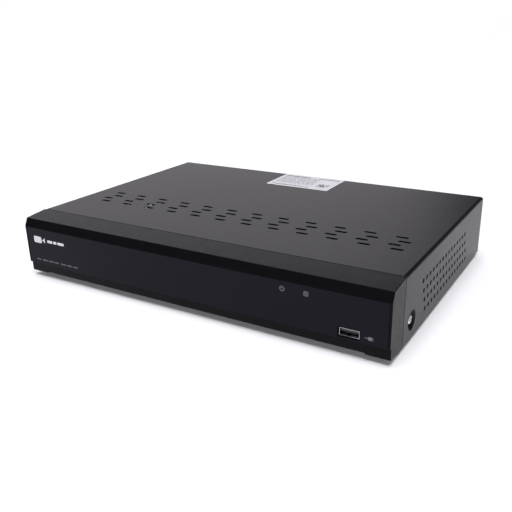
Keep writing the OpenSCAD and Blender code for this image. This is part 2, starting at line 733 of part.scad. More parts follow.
module terminal_block() {
    color([0.1, 0.5, 0.2]) placed() difference() {
        block([terminal_x - 4.4, 198, deck], [terminal_x + 4.4, panel_y + 1, deck + 8.6]);
        for (s = [-1, 1]) {
            block([terminal_x + s*2.1 - 1.4, 204, deck + 1],
                  [terminal_x + s*2.1 + 1.4, panel_y + 2, deck + 4.2]);
            rod_y(terminal_x + s * 2.1, deck + 6.4, 1.2, 205, panel_y + 2);
        }
    }
}
dc_z = deck + 6.2;
dc_r = 3.2;
module dc_jack() {
    color([0.05, 0.05, 0.05]) placed() difference() {
        block([dc_x - 4.5, 197, deck], [dc_x + 4.5, panel_y + 0.8, deck + 11]);
        rod_y(dc_x, dc_z, dc_r, 200, panel_y + 2);
    }
}
module dc_pin() { color("silver") placed() rod_y(dc_x, dc_z, 1.05, 200, panel_y - 0.6); }

// ---- Front board ----

module front_board() {
    color([0.05, 0.3, 0.14]) placed() difference() {
        block([fboard_x[0], fboard_y, fboard_z[0]], [fboard_x[1], fboard_y + fboard_t, fboard_z[1]]);
        for (x = fboard_screw_x) rod_y(x, fboard_screw_z, m3_r + 0.1, fboard_y - 1, fboard_y + 3);
    }
}
// Shell of the front data socket, open at its front end and standing on the board
module front_usb_shell() {
    color("silver") placed() difference() {
        block([usb_x - usb_shell_half, usb_shell_front, usb_shell_z[0]],
              [usb_x + usb_shell_half, fboard_y, usb_shell_z[1]]);
        block([usb_x - usb_shell_half + usb_shell_t, -1, usb_shell_z[0] + usb_shell_t],
              [usb_x + usb_shell_half - usb_shell_t, usb_shell_back, usb_shell_z[1] - usb_shell_t]);
    }
}
module status_leds() {
    color([0.8, 0.9, 0.8, 0.8]) placed() for (x = led_x) {
        rod_y(x, led_z, 1.5, 14.6, fboard_y);
        rod_y(x, led_z, 1.9, 16.2, fboard_y);
    }
}
module light_pipes() {
    color([0.9, 0.9, 0.95, 0.6]) placed() for (x = led_x) rod_y(x, led_z, 1.5, step_y + 0.1, 14.4);
}

// ---- Disk drive ----

cavity_z = hdd_z + 3.5;
lid_z = hdd_z + hdd_h - lid_t;
coil_angle = arm_angle - 180;

module hdd_case() {
    lid_holes = [for (x = [4.5, 97.1], y = [4.5, 73.5, 142.5]) [hdd_x[0] + x, hdd_y[0] + y]];
    color([0.62, 0.63, 0.65]) placed() {
        difference() {
            block([hdd_x[0], hdd_y[0], hdd_z], [hdd_x[1], hdd_y[1], lid_z]);
            rod_z(spindle[0], spindle[1], disk_r + 1, cavity_z, lid_z + 1);
            translate([mean(hdd_x), hdd_y[0] + 46, cavity_z]) linear_extrude(thru) rounded(90.4, 78, 6);
            // Recess for the drive's own board
            block([hdd_x[0] + 6, hdd_y[0] - 1, hdd_z - 1], [hdd_x[1] - 6, hdd_y[0] + 60, hdd_z + 1.9]);
            for (x = [-1, 1], y = hdd_hole_y)
                rod_z(mean(hdd_x) + x*hdd_hole_x, hdd_y[0] + y, m3_r + 0.05, hdd_z - 1, hdd_z + 8);
            for (p = lid_holes) rod_z(p[0], p[1], 1.2, lid_z - 6, lid_z + 1);
            for (x = [0, 1], y = [28.5, 130]) translate([hdd_x[x], hdd_y[0] + y, hdd_z + 6.4])
                rotate([0, 90, 0]) translate([0, 0, -3]) cylinder(r = m3_r, h = 6);
        }
        // Spindle boss with its fixed shaft, and the pivot post of the arm
        rod_z(spindle[0], spindle[1], 9, cavity_z - 1, cavity_z + 2);
        rod_z(spindle[0], spindle[1], pin_r, cavity_z, lid_z - 2);
        rod_z(pivot[0], pivot[1], 6, cavity_z - 1, cavity_z + 2.6);
        rod_z(pivot[0], pivot[1], pin_r, cavity_z, lid_z - 2);
    }
}

module hdd_lid() {
    lid_screws = [for (x = [4.5, 97.1], y = [4.5, 73.5, 142.5]) [hdd_x[0] + x, hdd_y[0] + y]];
    color([0.75, 0.76, 0.78]) placed() difference() {
        union() {
            translate([mean(hdd_x), mean(hdd_y), lid_z]) linear_extrude(lid_t)
                rounded(hdd_x[1] - hdd_x[0] - 0.6, hdd_y[1] - hdd_y[0] - 0.6, 3);
            for (p = lid_screws) rod_z(p[0], p[1], 2.6, lid_z + lid_t - eps, lid_z + lid_t + 0.5);
        }
        // Pressed recesses over the disks and the arm, and the screws' star recesses
        rod_z(spindle[0], spindle[1], 43, lid_z + lid_t - 0.5, lid_z + 3);
        translate([mean(hdd_x), hdd_y[0] + 42, lid_z + lid_t - 0.5]) linear_extrude(3) rounded(70, 50, 8);
        for (p = lid_screws) translate([p[0], p[1], lid_z + 0.9]) cylinder(r = 1.1, h = 3, $fn = 6);
    }
}

module hdd_board() {
    color([0.06, 0.2, 0.35]) placed() {
        block([hdd_x[0] + 7, hdd_y[0] + 7.4, hdd_z + 0.2], [hdd_x[1] - 7, hdd_y[0] + 59, hdd_z + 1.4]);
        // Edge connector for the data and power plugs
        block([hdd_x[0] + 8, hdd_y[0] + 0.3, hdd_z + 0.2], [hdd_x[0] + 54, hdd_y[0] + 7.4, hdd_z + 1.8]);
    }
}

module hdd_platters() {
    hub_z = cavity_z + 2.4;
    color([0.8, 0.81, 0.83]) placed() difference() {
        union() {
            rod_z(spindle[0], spindle[1], 14, hub_z, lid_z - 2.2);
            for (z = disk_levels) rod_z(spindle[0], spindle[1], disk_r, hdd_z + z, hdd_z + z + disk_t);
        }
        rod_z(spindle[0], spindle[1], pin_r + shaft_gap, hub_z - 1, lid_z);
    }
}

// An arm blade from the pivot out to the head
module arm_blade(z, t) {
    translate([pivot[0], pivot[1], z]) rotate([0, 0, arm_angle]) linear_extrude(t) difference() {
        polygon([[0, -6.5], [24, -4], [arm_l, -1.6], [arm_l, 1.6], [24, 4], [0, 6.5]]);
        translate([16, 0]) circle(r = 2.6);
        translate([25, 0]) circle(r = 1.7);
    }
}
module hdd_arm() {
    low = hdd_z + disk_levels[0];
    high = hdd_z + disk_levels[1];
    coil_z = mean([low + disk_t, high]) - 1.1;
    color([0.72, 0.7, 0.66]) placed() difference() {
        union() {
            rod_z(pivot[0], pivot[1], 7, low - 1.6, high + disk_t + 1.9);
            arm_blade(low - 1.5, 0.9);
            arm_blade(low + disk_t + 0.8, high - low - disk_t - 1.6);
            arm_blade(high + disk_t + 0.8, 0.9);
            // Coil on the far side of the pivot
            translate([pivot[0], pivot[1], coil_z]) rotate([0, 0, coil_angle])
                linear_extrude(2.2) polygon([[0, -5], [22, -7.5], [22, 7.5], [0, 5]]);
        }
        rod_z(pivot[0], pivot[1], pin_r + shaft_gap, hdd_z, lid_z);
        translate([pivot[0], pivot[1], coil_z - 1]) rotate([0, 0, coil_angle])
            linear_extrude(5) polygon([[11, -2.6], [19, -3.8], [19, 3.8], [11, 2.6]]);
    }
}

module hdd_magnets() {
    r_in = 9;
    r_out = 24.5;
    spread = 40;
    plate_t = 3;
    low = hdd_z + 8.4;
    high = hdd_z + 17.3;
    color([0.55, 0.56, 0.58]) placed() translate([pivot[0], pivot[1], 0]) rotate([0, 0, coil_angle]) {
        for (z = [low, high]) translate([0, 0, z])
            rotate([0, 0, -spread]) rotate_extrude(angle = 2 * spread)
                translate([r_in, 0]) square([r_out - r_in, plate_t]);
        for (a = [-spread - 5, spread + 5]) rotate([0, 0, a]) {
            translate([18, 0, cavity_z]) cylinder(r = 2.4, h = high + plate_t - cavity_z);
        }
    }
}

module hdd_screws() {
    color("silver") placed() for (x = [-1, 1], y = hdd_hole_y)
        screw_down(mean(hdd_x) + x*hdd_hole_x, hdd_y[0] + y, z_base, 8);
}

// ---- Cables ----

// Routes from plug to plug, measured from the foremost line and from the table
sata_route = [[14, 92, 14], [14, 80, 13.6], [14.5, 62, 12.5], [19, 49, 11], [29, 40.5, 10],
              [40, 39, 9.6], [51, 39, 9.6]];
power_route = [[-7, 92, 14.4], [-7, 77, 14], [-4, 60, 12.6], [8, 42, 10.4], [28, 30, 9.8], [52, 26.6, 9.8],
               [70, 27, 9.8], [78.4, 29.4, 9.8], [81, 36.6, 9.8]];
front_route = [[-23, 92, 14.6], [-22.6, 78, 15.4], [-14, 62, 17.4], [6, 46, 19], [34, 38, 20], [66, 36, 20],
               [88, 35, 20], [97.4, 31.6, 20], [100, 24, 20]];
fan_route = [[29.5, 165, 14], [30.2, 157.4, 14.4], [33.4, 153, 15.6], [37.4, 158, 16.4], [38, 172, 16.6],
             [37.2, 186, 16], [41, 194, 14], [52, 197.4, 12], [65, 200, 11], [75.6, 201.6, 11]];

// Plugs on the cables' ends, each between two corners
module cable_plugs() {
    color([0.1, 0.1, 0.1]) placed() {
        block([data_port[0] - 5.2, 90, deck + 1.3], [data_port[0] + 5.2, 99.2, deck + 5.7]);
        block([power_port[0] - 4.8, 90, deck + 1.3], [power_port[0] + 4.8, 99.2, deck + 6.7]);
        block([front_port[0] - 5.2, 90, deck + 1.3], [front_port[0] + 5.2, 99.2, deck + 6.7]);
        block([fan_port[0] - 2.5, 163, deck + 1.3], [fan_port[0] + 2.5, 172, deck + 5.7]);
        block([49, 36, z_floor + 2.8], [61, 44, z_floor + 8.8]);
        block([69, 34.6, z_floor + 2.8], [93, 44, z_floor + 8.8]);
        block([93, 18.9, 16], [107, 26, 24]);
    }
}
module sata_cable() {
    color([0.75, 0.05, 0.06]) placed() sweep(smooth(sata_route, 4), bar(0.8, 2));
}
module disk_power_cable() {
    line = smooth(power_route, 3);
    color([0.1, 0.1, 0.1]) placed() for (k = [0 : 3])
        sweep([for (p = line) p + [0, 0, (k - 1.5) * 1.45]], ellipse(0.65, 0.65, 8));
}
module front_cable() {
    color([0.55, 0.55, 0.58]) placed() sweep(smooth(front_route, 3), bar(0.55, 2.4));
}
module fan_cable() {
    line = smooth(fan_route, 3);
    color([0.1, 0.1, 0.1]) placed() for (k = [-1, 1])
        sweep([for (p = line) p + [0, 0, k * 0.7]], ellipse(0.6, 0.6, 8));
}

// ---- Fan ----

fan_back = inner_y - 0.2;
fan_front = fan_back - fan_t;
module fan_part() { translate([fan_x, 0, fan_z]) children(); }

module fan_frame() {
    color([0.06, 0.06, 0.06]) placed() fan_part() {
        difference() {
            along_y(fan_front, fan_back) rounded(fan_size, fan_size, 3);
            rod_y(0, 0, fan_bore, fan_front - 1, fan_back + 1);
            for (x = [-1, 1], z = [-1, 1])
                rod_y(x*fan_hole, z*fan_hole, m3_r + 0.1, fan_front - 1, fan_back + 1);
        }
        difference() {
            union() {
                rod_y(0, 0, fan_hub + 0.4, fan_back - 1.6, fan_back);
                rod_y(0, 0, 6.4, fan_front + 3, fan_back);
                for (a = [30, 150, 270]) rotate([0, -a, 0])
                    block([fan_hub - 1, fan_back - 1.6, -1.1], [fan_bore + 0.4, fan_back, 1.1]);
            }
            rod_y(0, 0, 1 + shaft_gap, fan_front, fan_back - 0.6);
        }
    }
}
module fan_rotor() {
    blades = 7;
    tip_r = fan_bore - 0.7;
    back = fan_back - 2.1;
    front = fan_front + 0.6;
    color([0.08, 0.08, 0.08]) placed() fan_part() {
        difference() {
            rod_y(0, 0, fan_hub, front, back);
            rod_y(0, 0, fan_hub - 1.4, front + 1.6, back + 1);
        }
        rod_y(0, 0, 1, front + 1, fan_back - 1.2);
        intersection() {
            for (k = [0 : blades - 1]) translate([0, mean([front, back]), 0])
                rotate([0, k * 360 / blades, 0]) rotate([38, 0, 0])
                    block([fan_hub - 0.6, -10, -0.55], [tip_r + 2, 10, 0.55]);
            difference() {
                rod_y(0, 0, tip_r, front, back);
                rod_y(0, 0, fan_hub - 0.7, front - 1, back + 1);
            }
            translate([0, mean([front, back]), 0]) cube([80, back - front, 80], center = true);
        }
    }
}
module fan_screws() {
    color("silver") placed() for (x = [-1, 1], z = [-1, 1])
        screw_rear(fan_x + x*fan_hole, panel_y, fan_z + z*fan_hole, 9);
}

base_tray();
rear_panel();
top_cover();
side_screws();
rear_cover_screws();
case_screws();
bezel();
fascia();
rating_label();
rubber_feet();
main_board();
board_standoffs();
processor();
heatsink();
memory_chips();
video_decoders();
capacitors();
inductors();
cell_holder();
coin_cell();
lan_transformer();
buzzer();
board_headers();
bnc_housing();
bnc_shells();
bnc_insulators();
bnc_contacts();
rca_housing();
rca_shells();
rca_inserts();
vga_socket();
vga_insert();
vga_jackscrews();
hdmi_socket();
usb_sockets();
socket_tongues();
lan_socket();
lan_insert();
terminal_block();
dc_jack();
dc_pin();
front_board();
front_usb_shell();
status_leds();
light_pipes();
hdd_case();
hdd_lid();
hdd_board();
hdd_platters();
hdd_arm();
hdd_magnets();
hdd_screws();
cable_plugs();
sata_cable();
disk_power_cable();
front_cable();
fan_cable();
fan_frame();
fan_rotor();
fan_screws();
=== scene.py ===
"""Finish, small detail, floor, light and camera for the video recorder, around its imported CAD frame."""

import json
import math
import random

import bmesh
import bpy
from mathutils import Matrix, Vector


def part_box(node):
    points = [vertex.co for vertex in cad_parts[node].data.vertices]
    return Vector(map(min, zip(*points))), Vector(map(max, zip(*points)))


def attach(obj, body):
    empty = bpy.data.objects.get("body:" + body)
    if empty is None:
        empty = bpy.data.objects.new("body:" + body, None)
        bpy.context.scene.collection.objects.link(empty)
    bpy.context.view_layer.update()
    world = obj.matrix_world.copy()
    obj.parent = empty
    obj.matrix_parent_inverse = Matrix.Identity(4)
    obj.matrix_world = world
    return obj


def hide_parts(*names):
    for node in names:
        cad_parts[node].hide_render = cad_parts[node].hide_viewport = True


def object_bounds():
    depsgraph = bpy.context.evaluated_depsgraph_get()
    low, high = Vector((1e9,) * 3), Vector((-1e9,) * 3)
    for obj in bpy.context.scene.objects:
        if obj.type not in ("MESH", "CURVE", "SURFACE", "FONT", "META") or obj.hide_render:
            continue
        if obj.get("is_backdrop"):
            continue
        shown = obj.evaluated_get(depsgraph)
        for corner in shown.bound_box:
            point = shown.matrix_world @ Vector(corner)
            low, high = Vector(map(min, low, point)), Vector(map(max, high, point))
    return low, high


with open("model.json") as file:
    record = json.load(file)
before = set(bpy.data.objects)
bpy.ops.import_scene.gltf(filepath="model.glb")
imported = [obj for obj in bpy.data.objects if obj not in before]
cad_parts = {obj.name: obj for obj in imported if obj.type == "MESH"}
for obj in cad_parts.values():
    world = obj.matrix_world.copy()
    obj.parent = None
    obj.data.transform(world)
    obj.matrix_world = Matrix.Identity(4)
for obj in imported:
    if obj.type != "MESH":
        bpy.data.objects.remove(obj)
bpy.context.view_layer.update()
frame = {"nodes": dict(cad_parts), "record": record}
MM = 0.001
EPS = 0.01
NOISE_LOW, NOISE_HIGH = 0.3, 0.7  # a noise texture seldom leaves these
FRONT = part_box("bezel")[0].y / MM
CASE_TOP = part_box("top_cover")[1].z / MM
HALF_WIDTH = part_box("bezel")[1].x / MM


# ---- Materials ----


def feed(tree, socket, value):
    """Links an output to an input, or sets the input's value"""
    if isinstance(value, bpy.types.NodeSocket):
        tree.links.new(value, socket)
    elif isinstance(value, tuple) and socket.type == "RGBA":
        socket.default_value = (*value[:3], 1.0)
    else:
        socket.default_value = value


def add_node(tree, kind, settings=None, **inputs):
    """A new shader node; inputs go by their name, or by their number after an underscore"""
    made = tree.nodes.new(kind)
    for key, value in (settings or {}).items():
        setattr(made, key, value)
    for key, value in inputs.items():
        feed(tree, made.inputs[int(key[1:]) if key[0] == "_" else key.replace("_", " ")], value)
    return made


class Look:
    """A material's node tree, with short calls for the nodes that the looks share"""

    def __init__(self, name, **sockets):
        self.mat = bpy.data.materials.new(name)
        self.mat.use_nodes = True
        self.tree = self.mat.node_tree
        self.shader = self.tree.nodes["Principled BSDF"]
        self.coordinates = self.node("ShaderNodeTexCoord").outputs["Object"]
        self.set(**sockets)

    def node(self, kind, settings=None, **inputs):
        return add_node(self.tree, kind, settings, **inputs)

    def stretched(self, x=1.0, y=1.0, z=1.0):
        """Object coordinates, scaled along each axis"""
        return self.node("ShaderNodeMapping", Vector=self.coordinates, Scale=(x, y, z)).outputs[0]

    def noise(self, scale, detail=2.0, vector=None):
        source = vector or self.coordinates
        return self.node("ShaderNodeTexNoise", Scale=scale, Detail=detail, Vector=source).outputs["Fac"]

    def math(self, operation, a, b=0.0):
        return self.node("ShaderNodeMath", {"operation": operation}, _0=a, _1=b).outputs[0]

    def axis(self, name):
        return self.node("ShaderNodeSeparateXYZ", Vector=self.coordinates).outputs[name]

    def facing(self, name):
        """One component of the surface's own direction"""
        normal = self.node("ShaderNodeNewGeometry").outputs["True Normal"]
        turned = self.node(
            "ShaderNodeVectorTransform",
            {"vector_type": "NORMAL", "convert_from": "WORLD", "convert_to": "OBJECT"},
            Vector=normal,
        )
        return self.node("ShaderNodeSeparateXYZ", Vector=turned.outputs[0]).outputs[name]

    def span(self, value, low, high):
        """Spreads a noise value from one number to another"""
        source = {"From_Min": NOISE_LOW, "From_Max": NOISE_HIGH}
        return self.node("ShaderNodeMapRange", Value=value, To_Min=low, To_Max=high, **source).outputs[0]

    def blend(self, factor, first, second):
        """A colour between two others"""
        return self.node("ShaderNodeMix", {"data_type": "RGBA"}, _0=factor, _6=first, _7=second).outputs[2]

    def set(self, **sockets):
        for key, value in sockets.items():
            feed(self.tree, self.shader.inputs[key.replace("_", " ")], value)
        return self

    def relief(self, height, strength, distance, edge=0.0):
        """Bump from a height, over edges that the light sees as rounded"""
        bump = self.node("ShaderNodeBump", Height=height, Strength=strength, Distance=distance)
        if edge:
            rounded = self.node("ShaderNodeBevel", {"samples": 4}, Radius=edge).outputs[0]
            feed(self.tree, bump.inputs["Normal"], rounded)
        return self.set(Normal=bump.outputs[0])


def shade(colour, factor):
    """A darker or lighter tone of a colour"""
    return tuple(c * factor for c in colour)


def plain(name, colour, rough, grain=1600, bump=0.2, depth=0.03, tone=0.12, edge=0.15, **sockets):
    """A moulded, cast or painted surface: fine grain, slow change of tone and gloss, softened edges"""
    look = Look(name, **sockets)
    slow = look.noise(45, 4)
    colour = look.blend(look.span(slow, 0, 1), shade(colour, 1 - tone), shade(colour, 1 + tone))
    look.set(Base_Color=colour, Roughness=look.span(look.noise(160, 3), rough * 0.9, rough * 1.1))
    return look.relief(look.noise(grain, 3), bump, depth * MM, edge * MM)


def brushed(name, colour, rough, along):
    """Sheet metal with fine drawn lines along one axis"""
    look = Look(name, Metallic=1.0)
    stretch = {axis: 0.02 if axis == along else 1.0 for axis in "xyz"}
    lines = look.noise(5200, 2, look.stretched(**stretch))
    blotch = look.noise(70, 3)
    look.set(
        Base_Color=look.blend(look.span(blotch, 0, 1), shade(colour, 0.88), colour),
        Roughness=look.span(lines, rough * 0.75, rough * 1.3),
    )
    return look.relief(lines, 0.12, 0.01 * MM, 0.15 * MM)


def case_paint(name, colour, rough):
    """Powder coat: an orange-peel skin with fine grit in it"""
    look = Look(name, Specular_IOR_Level=0.13)
    slow = look.noise(14, 3)
    peel = look.noise(1500, 2)
    grit = look.noise(5200, 1)
    look.set(
        Base_Color=look.blend(look.span(slow, 0, 1), shade(colour, 0.9), shade(colour, 1.1)),
        Roughness=look.span(look.noise(300, 4), rough * 0.93, rough * 1.07),
    )
    skin = look.math("ADD", look.math("MULTIPLY", peel, 0.7), look.math("MULTIPLY", grit, 0.3))
    return look.relief(skin, 0.03, 0.015 * MM, 0.2 * MM)


def board(name, colour):
    """Solder mask: copper lines under it, and plated holes"""
    look = Look(name, Coat_Weight=0.35, Coat_Roughness=0.12)
    tracks = look.node(
        "ShaderNodeTexBrick",
        {"offset": 0.37, "squash": 0.7, "squash_frequency": 3},
        Vector=look.coordinates, Scale=1.0, Mortar_Size=0.00022, Brick_Width=0.0142, Row_Height=0.0012,
        Color1=(0, 0, 0, 1), Color2=(0, 0, 0, 1), Mortar=(1, 1, 1, 1),
    ).outputs["Fac"]
    areas = look.math("GREATER_THAN", look.noise(75, 1), 0.5)
    copper = look.math("MULTIPLY", tracks, areas)
    cells = look.node("ShaderNodeTexVoronoi", Vector=look.coordinates, Scale=260.0).outputs["Distance"]
    vias = look.math("LESS_THAN", cells, 0.085)
    tinned = look.blend(look.math("MULTIPLY", copper, 0.8), colour, shade(colour, 2.1))
    look.set(
        Base_Color=look.blend(vias, tinned, (0.5, 0.46, 0.3)),
        Roughness=look.span(look.noise(420, 3), 0.3, 0.45),
        Metallic=look.math("MULTIPLY", vias, 0.8),
    )
    return look.relief(copper, 0.5, 0.03 * MM, 0.1 * MM)


def sleeves(name):
    """Electrolytic capacitors: a printed sleeve with a pale stripe, and a bare metal top"""
    look = Look(name, Roughness=0.38)
    metal = look.math("GREATER_THAN", look.facing("Z"), 0.8)
    stripe = look.math("GREATER_THAN", look.facing("X"), 0.86)
    sleeve = look.blend(stripe, (0.012, 0.014, 0.03), (0.42, 0.44, 0.47))
    look.set(Base_Color=look.blend(metal, sleeve, (0.72, 0.73, 0.75)), Metallic=metal)
    return look.relief(look.noise(1500, 2), 0.15, 0.02 * MM, 0.25 * MM)


def two_tone(name, below, above, height):
    """Moulded parts in one colour below a height and another above it"""
    look = Look(name)
    high = look.math("GREATER_THAN", look.axis("Z"), height)
    look.set(
        Base_Color=look.blend(high, below, above),
        Roughness=look.span(look.noise(900, 2), 0.35, 0.48),
    )
    return look.relief(look.noise(2400, 2), 0.2, 0.02 * MM, 0.1 * MM)


def ribbon(name, colour):
    """Flat cable: the ridges of its conductors run along it, with painted shade darkening the grooves between
    them
    """
    look = Look(name)
    ridges = look.node(
        "ShaderNodeTexWave", {"bands_direction": "Z"}, Vector=look.coordinates, Scale=300.0, Distortion=0.0
    ).outputs["Fac"]
    look.set(
        # painted shade: the grooves between the ridges are darkened to 0.55 of the cable's colour
        Base_Color=look.blend(ridges, shade(colour, 0.55), colour),
        Roughness=look.span(ridges, 0.6, 0.4),
    )
    return look.relief(ridges, 0.5, 0.15 * MM)


def paper(name, colour, rough=0.45):
    """Coated paper or flat ink, with a fine fibre"""
    look = Look(name, Coat_Weight=0.25, Coat_Roughness=0.3)
    fibre = look.noise(1300, 5)
    look.set(
        Base_Color=look.blend(look.span(fibre, 0, 1), shade(colour, 0.95), colour),
        Roughness=look.span(look.noise(200, 3), rough * 0.9, rough * 1.15),
    )
    return look.relief(fibre, 0.12, 0.02 * MM)


def panel_gloss(name, colour):
    """Polished smoked acrylic: a very slight waviness, and faint dust in the gloss"""
    look = Look(name, Specular_IOR_Level=0.09, IOR=1.49)
    slow = look.noise(9, 2)
    dust = look.math("GREATER_THAN", look.noise(2600, 2), 0.74)
    smooth = look.span(look.noise(25, 3), 0.1, 0.16)
    look.set(
        Base_Color=look.blend(look.span(slow, 0, 1), shade(colour, 0.93), shade(colour, 1.07)),
        Roughness=look.math("ADD", smooth, look.math("MULTIPLY", dust, 0.25)),
    )
    return look.relief(slow, 0.25, 0.4 * MM, 0.12 * MM)


def clear(name):
    """Clear moulded plastic, slightly frosted"""
    look = Look(name, Transmission_Weight=0.85, IOR=1.49, Base_Color=(0.9, 0.92, 0.9))
    look.set(Roughness=look.span(look.noise(700, 2), 0.1, 0.25))
    return look.relief(look.noise(500, 2), 0.1, 0.03 * MM)


def metal(name, colour, rough, grain=900, bump=0.08, edge=0.2):
    """Plated, turned or cast metal"""
    return plain(name, colour, rough, grain, bump, 0.02, 0.06, edge, Metallic=1.0)


PAINT = (0.0066, 0.006, 0.0078)
looks = {
    "case_paint": case_paint("case_paint", PAINT, 0.31),
    "panel_paint": case_paint("panel_paint", PAINT, 0.42),
    "zinc_steel": brushed("zinc_steel", (0.6, 0.61, 0.63), 0.36, "x"),
    "bright_steel": metal("bright_steel", (0.72, 0.72, 0.74), 0.24),
    "bezel_plastic": plain("bezel_plastic", (0.0026, 0.0025, 0.0032), 0.3, grain=3400, bump=0.12, edge=0.0,
                           Specular_IOR_Level=0.07),
    "gloss_panel": panel_gloss("gloss_panel", (0.003, 0.0029, 0.0054)),
    "label_paper": paper("label_paper", (0.69, 0.69, 0.72)),
    "foot_rubber": plain("foot_rubber", (0.014, 0.014, 0.014), 0.75, grain=2200, bump=0.4, depth=0.05,
                         edge=0.0),
    "board_green": board("board_green", (0.008, 0.085, 0.03)),
    "board_blue": board("board_blue", (0.006, 0.03, 0.11)),
    "brass": metal("brass", (0.72, 0.5, 0.2), 0.26),
    "gold": metal("gold", (0.83, 0.6, 0.22), 0.2),
    "chip_black": plain("chip_black", (0.018, 0.018, 0.019), 0.55, grain=3000, bump=0.3),
    "socket_black": plain("socket_black", (0.014, 0.014, 0.015), 0.42, grain=2600),
    "bare_aluminium": brushed("bare_aluminium", (0.74, 0.75, 0.77), 0.34, "y"),
    "cast_aluminium": metal("cast_aluminium", (0.5, 0.51, 0.53), 0.48, grain=1400, bump=0.35),
    "drive_lid": brushed("drive_lid", (0.68, 0.69, 0.71), 0.27, "y"),
    "disk_mirror": brushed("disk_mirror", (0.82, 0.83, 0.85), 0.05, "z"),
    "magnet_steel": metal("magnet_steel", (0.55, 0.56, 0.58), 0.22),
    "capacitor_sleeve": sleeves("capacitor_sleeve"),
    "ferrite_grey": plain("ferrite_grey", (0.075, 0.075, 0.08), 0.6, grain=1800, bump=0.35),
    "header_ivory": plain("header_ivory", (0.66, 0.61, 0.46), 0.45, edge=0.1),
    "nickel": metal("nickel", (0.7, 0.69, 0.67), 0.16, edge=0.15),
    "ptfe_white": plain("ptfe_white", (0.78, 0.78, 0.75), 0.4, edge=0.1),
    "audio_inserts": two_tone("audio_inserts", (0.55, 0.015, 0.012), (0.74, 0.73, 0.7), 0.0245),
    "vga_blue": plain("vga_blue", (0.008, 0.035, 0.3), 0.42, edge=0.1),
    "terminal_green": plain("terminal_green", (0.01, 0.2, 0.045), 0.45, edge=0.1),
    "clear_plastic": clear("clear_plastic"),
    "cable_red": ribbon("cable_red", (0.42, 0.012, 0.012)),
    "ribbon_grey": ribbon("ribbon_grey", (0.34, 0.34, 0.36)),
    "fan_plastic": plain("fan_plastic", (0.013, 0.013, 0.014), 0.5, grain=2000, bump=0.25),
    "wire_black": plain("wire_black", (0.014, 0.014, 0.014), 0.4, edge=0.0),
    "wire_red": plain("wire_red", (0.4, 0.012, 0.01), 0.4, edge=0.0),
    "wire_yellow": plain("wire_yellow", (0.6, 0.42, 0.02), 0.4, edge=0.0),
    "tin": metal("tin", (0.66, 0.66, 0.67), 0.3),
    "ceramic_tan": plain("ceramic_tan", (0.28, 0.19, 0.11), 0.5, edge=0.0),
    "silk_white": paper("silk_white", (0.7, 0.71, 0.7), 0.6),
    "print_white": paper("print_white", (0.38, 0.38, 0.4), 0.5),
    "print_grey": paper("print_grey", (0.085, 0.085, 0.092), 0.5),
    "print_dim": paper("print_dim", (0.035, 0.035, 0.04), 0.5),
    "ink_field": paper("ink_field", (0.56, 0.555, 0.6), 0.6),
    "ink_grey": paper("ink_grey", (0.045, 0.045, 0.055), 0.6),
    "ink_pale": paper("ink_pale", (0.27, 0.265, 0.31), 0.6),
}

slot_of = {row["node"]: row["material_slot"] for row in frame["record"]["subparts"]}


def dress(node):
    """Gives a CAD node its finish, and smooth shading between its sharp edges"""
    thing = frame["nodes"][node]
    mesh = thing.data
    for name in ("custom_normal", "sharp_edge"):
        if name in mesh.attributes:
            mesh.attributes.remove(mesh.attributes[name])
    mesh.shade_smooth()
    mesh.materials.clear()
    mesh.materials.append(looks.get(slot_of[node], looks["socket_black"]).mat)
    weld = thing.modifiers.new("weld", "WELD")
    weld.merge_threshold = 0.002 * MM
    split = thing.modifiers.new("split", "EDGE_SPLIT")
    split.split_angle = math.radians(32)
    even = thing.modifiers.new("flat", "WEIGHTED_NORMAL")
    even.weight = 100


for node in frame["nodes"]:
    dress(node)


# ---- Mesh pieces ----


def fillet(points, radius, steps=4):
    """A closed outline with its corners rounded; radius is one number, or a list with one per corner"""
    rounded = []
    count = len(points)
    for i, corner in enumerate(points):
        r = radius[i] if isinstance(radius, list) else radius
        here = Vector(corner)
        back = (Vector(points[i - 1]) - here).normalized()
        ahead = (Vector(points[(i + 1) % count]) - here).normalized()
        if r <= 0:
            rounded.append(here)
            continue
        angle = back.angle(ahead)
        reach = r / math.tan(angle / 2)
        centre = here + (back + ahead).normalized() * (r / math.sin(angle / 2))
        start = here + back * reach - centre
        end = here + ahead * reach - centre
        for k in range(steps + 1):
            rounded.append(centre + start.slerp(end, k / steps).normalized() * r)
    return rounded


def inset(points, distance):
    """A counter-clockwise outline moved inwards"""
    moved = []
    for i, here in enumerate(points):
        before = (here - points[i - 1]).normalized()
        after = (points[(i + 1) % len(points)] - here).normalized()
        normal = Vector((-before.y - after.y, before.x + after.x))
        moved.append(here + normal.normalized() * distance / max(0.3, normal.length / 2))
    return moved


def box_outline(x0, y0, x1, y1):
    """A rectangle"""
    return [Vector(p) for p in ((x0, y0), (x1, y0), (x1, y1), (x0, y1))]


def disc_outline(x, y, r, sides=32):
    """A circle as a polygon"""
    turn = 2 * math.pi / sides
    return [Vector((x + r * math.cos(k * turn), y + r * math.sin(k * turn))) for k in range(sides)]


def arc_outline(x, y, r_in, r_out, start, end, steps=20):
    """A bent bar, from one angle to another in degrees"""
    angles = [math.radians(start + (end - start) * k / steps) for k in range(steps + 1)]
    outer = [Vector((x + r_out * math.cos(a), y + r_out * math.sin(a))) for a in angles]
    return outer + [Vector((x + r_in * math.cos(a), y + r_in * math.sin(a))) for a in reversed(angles)]


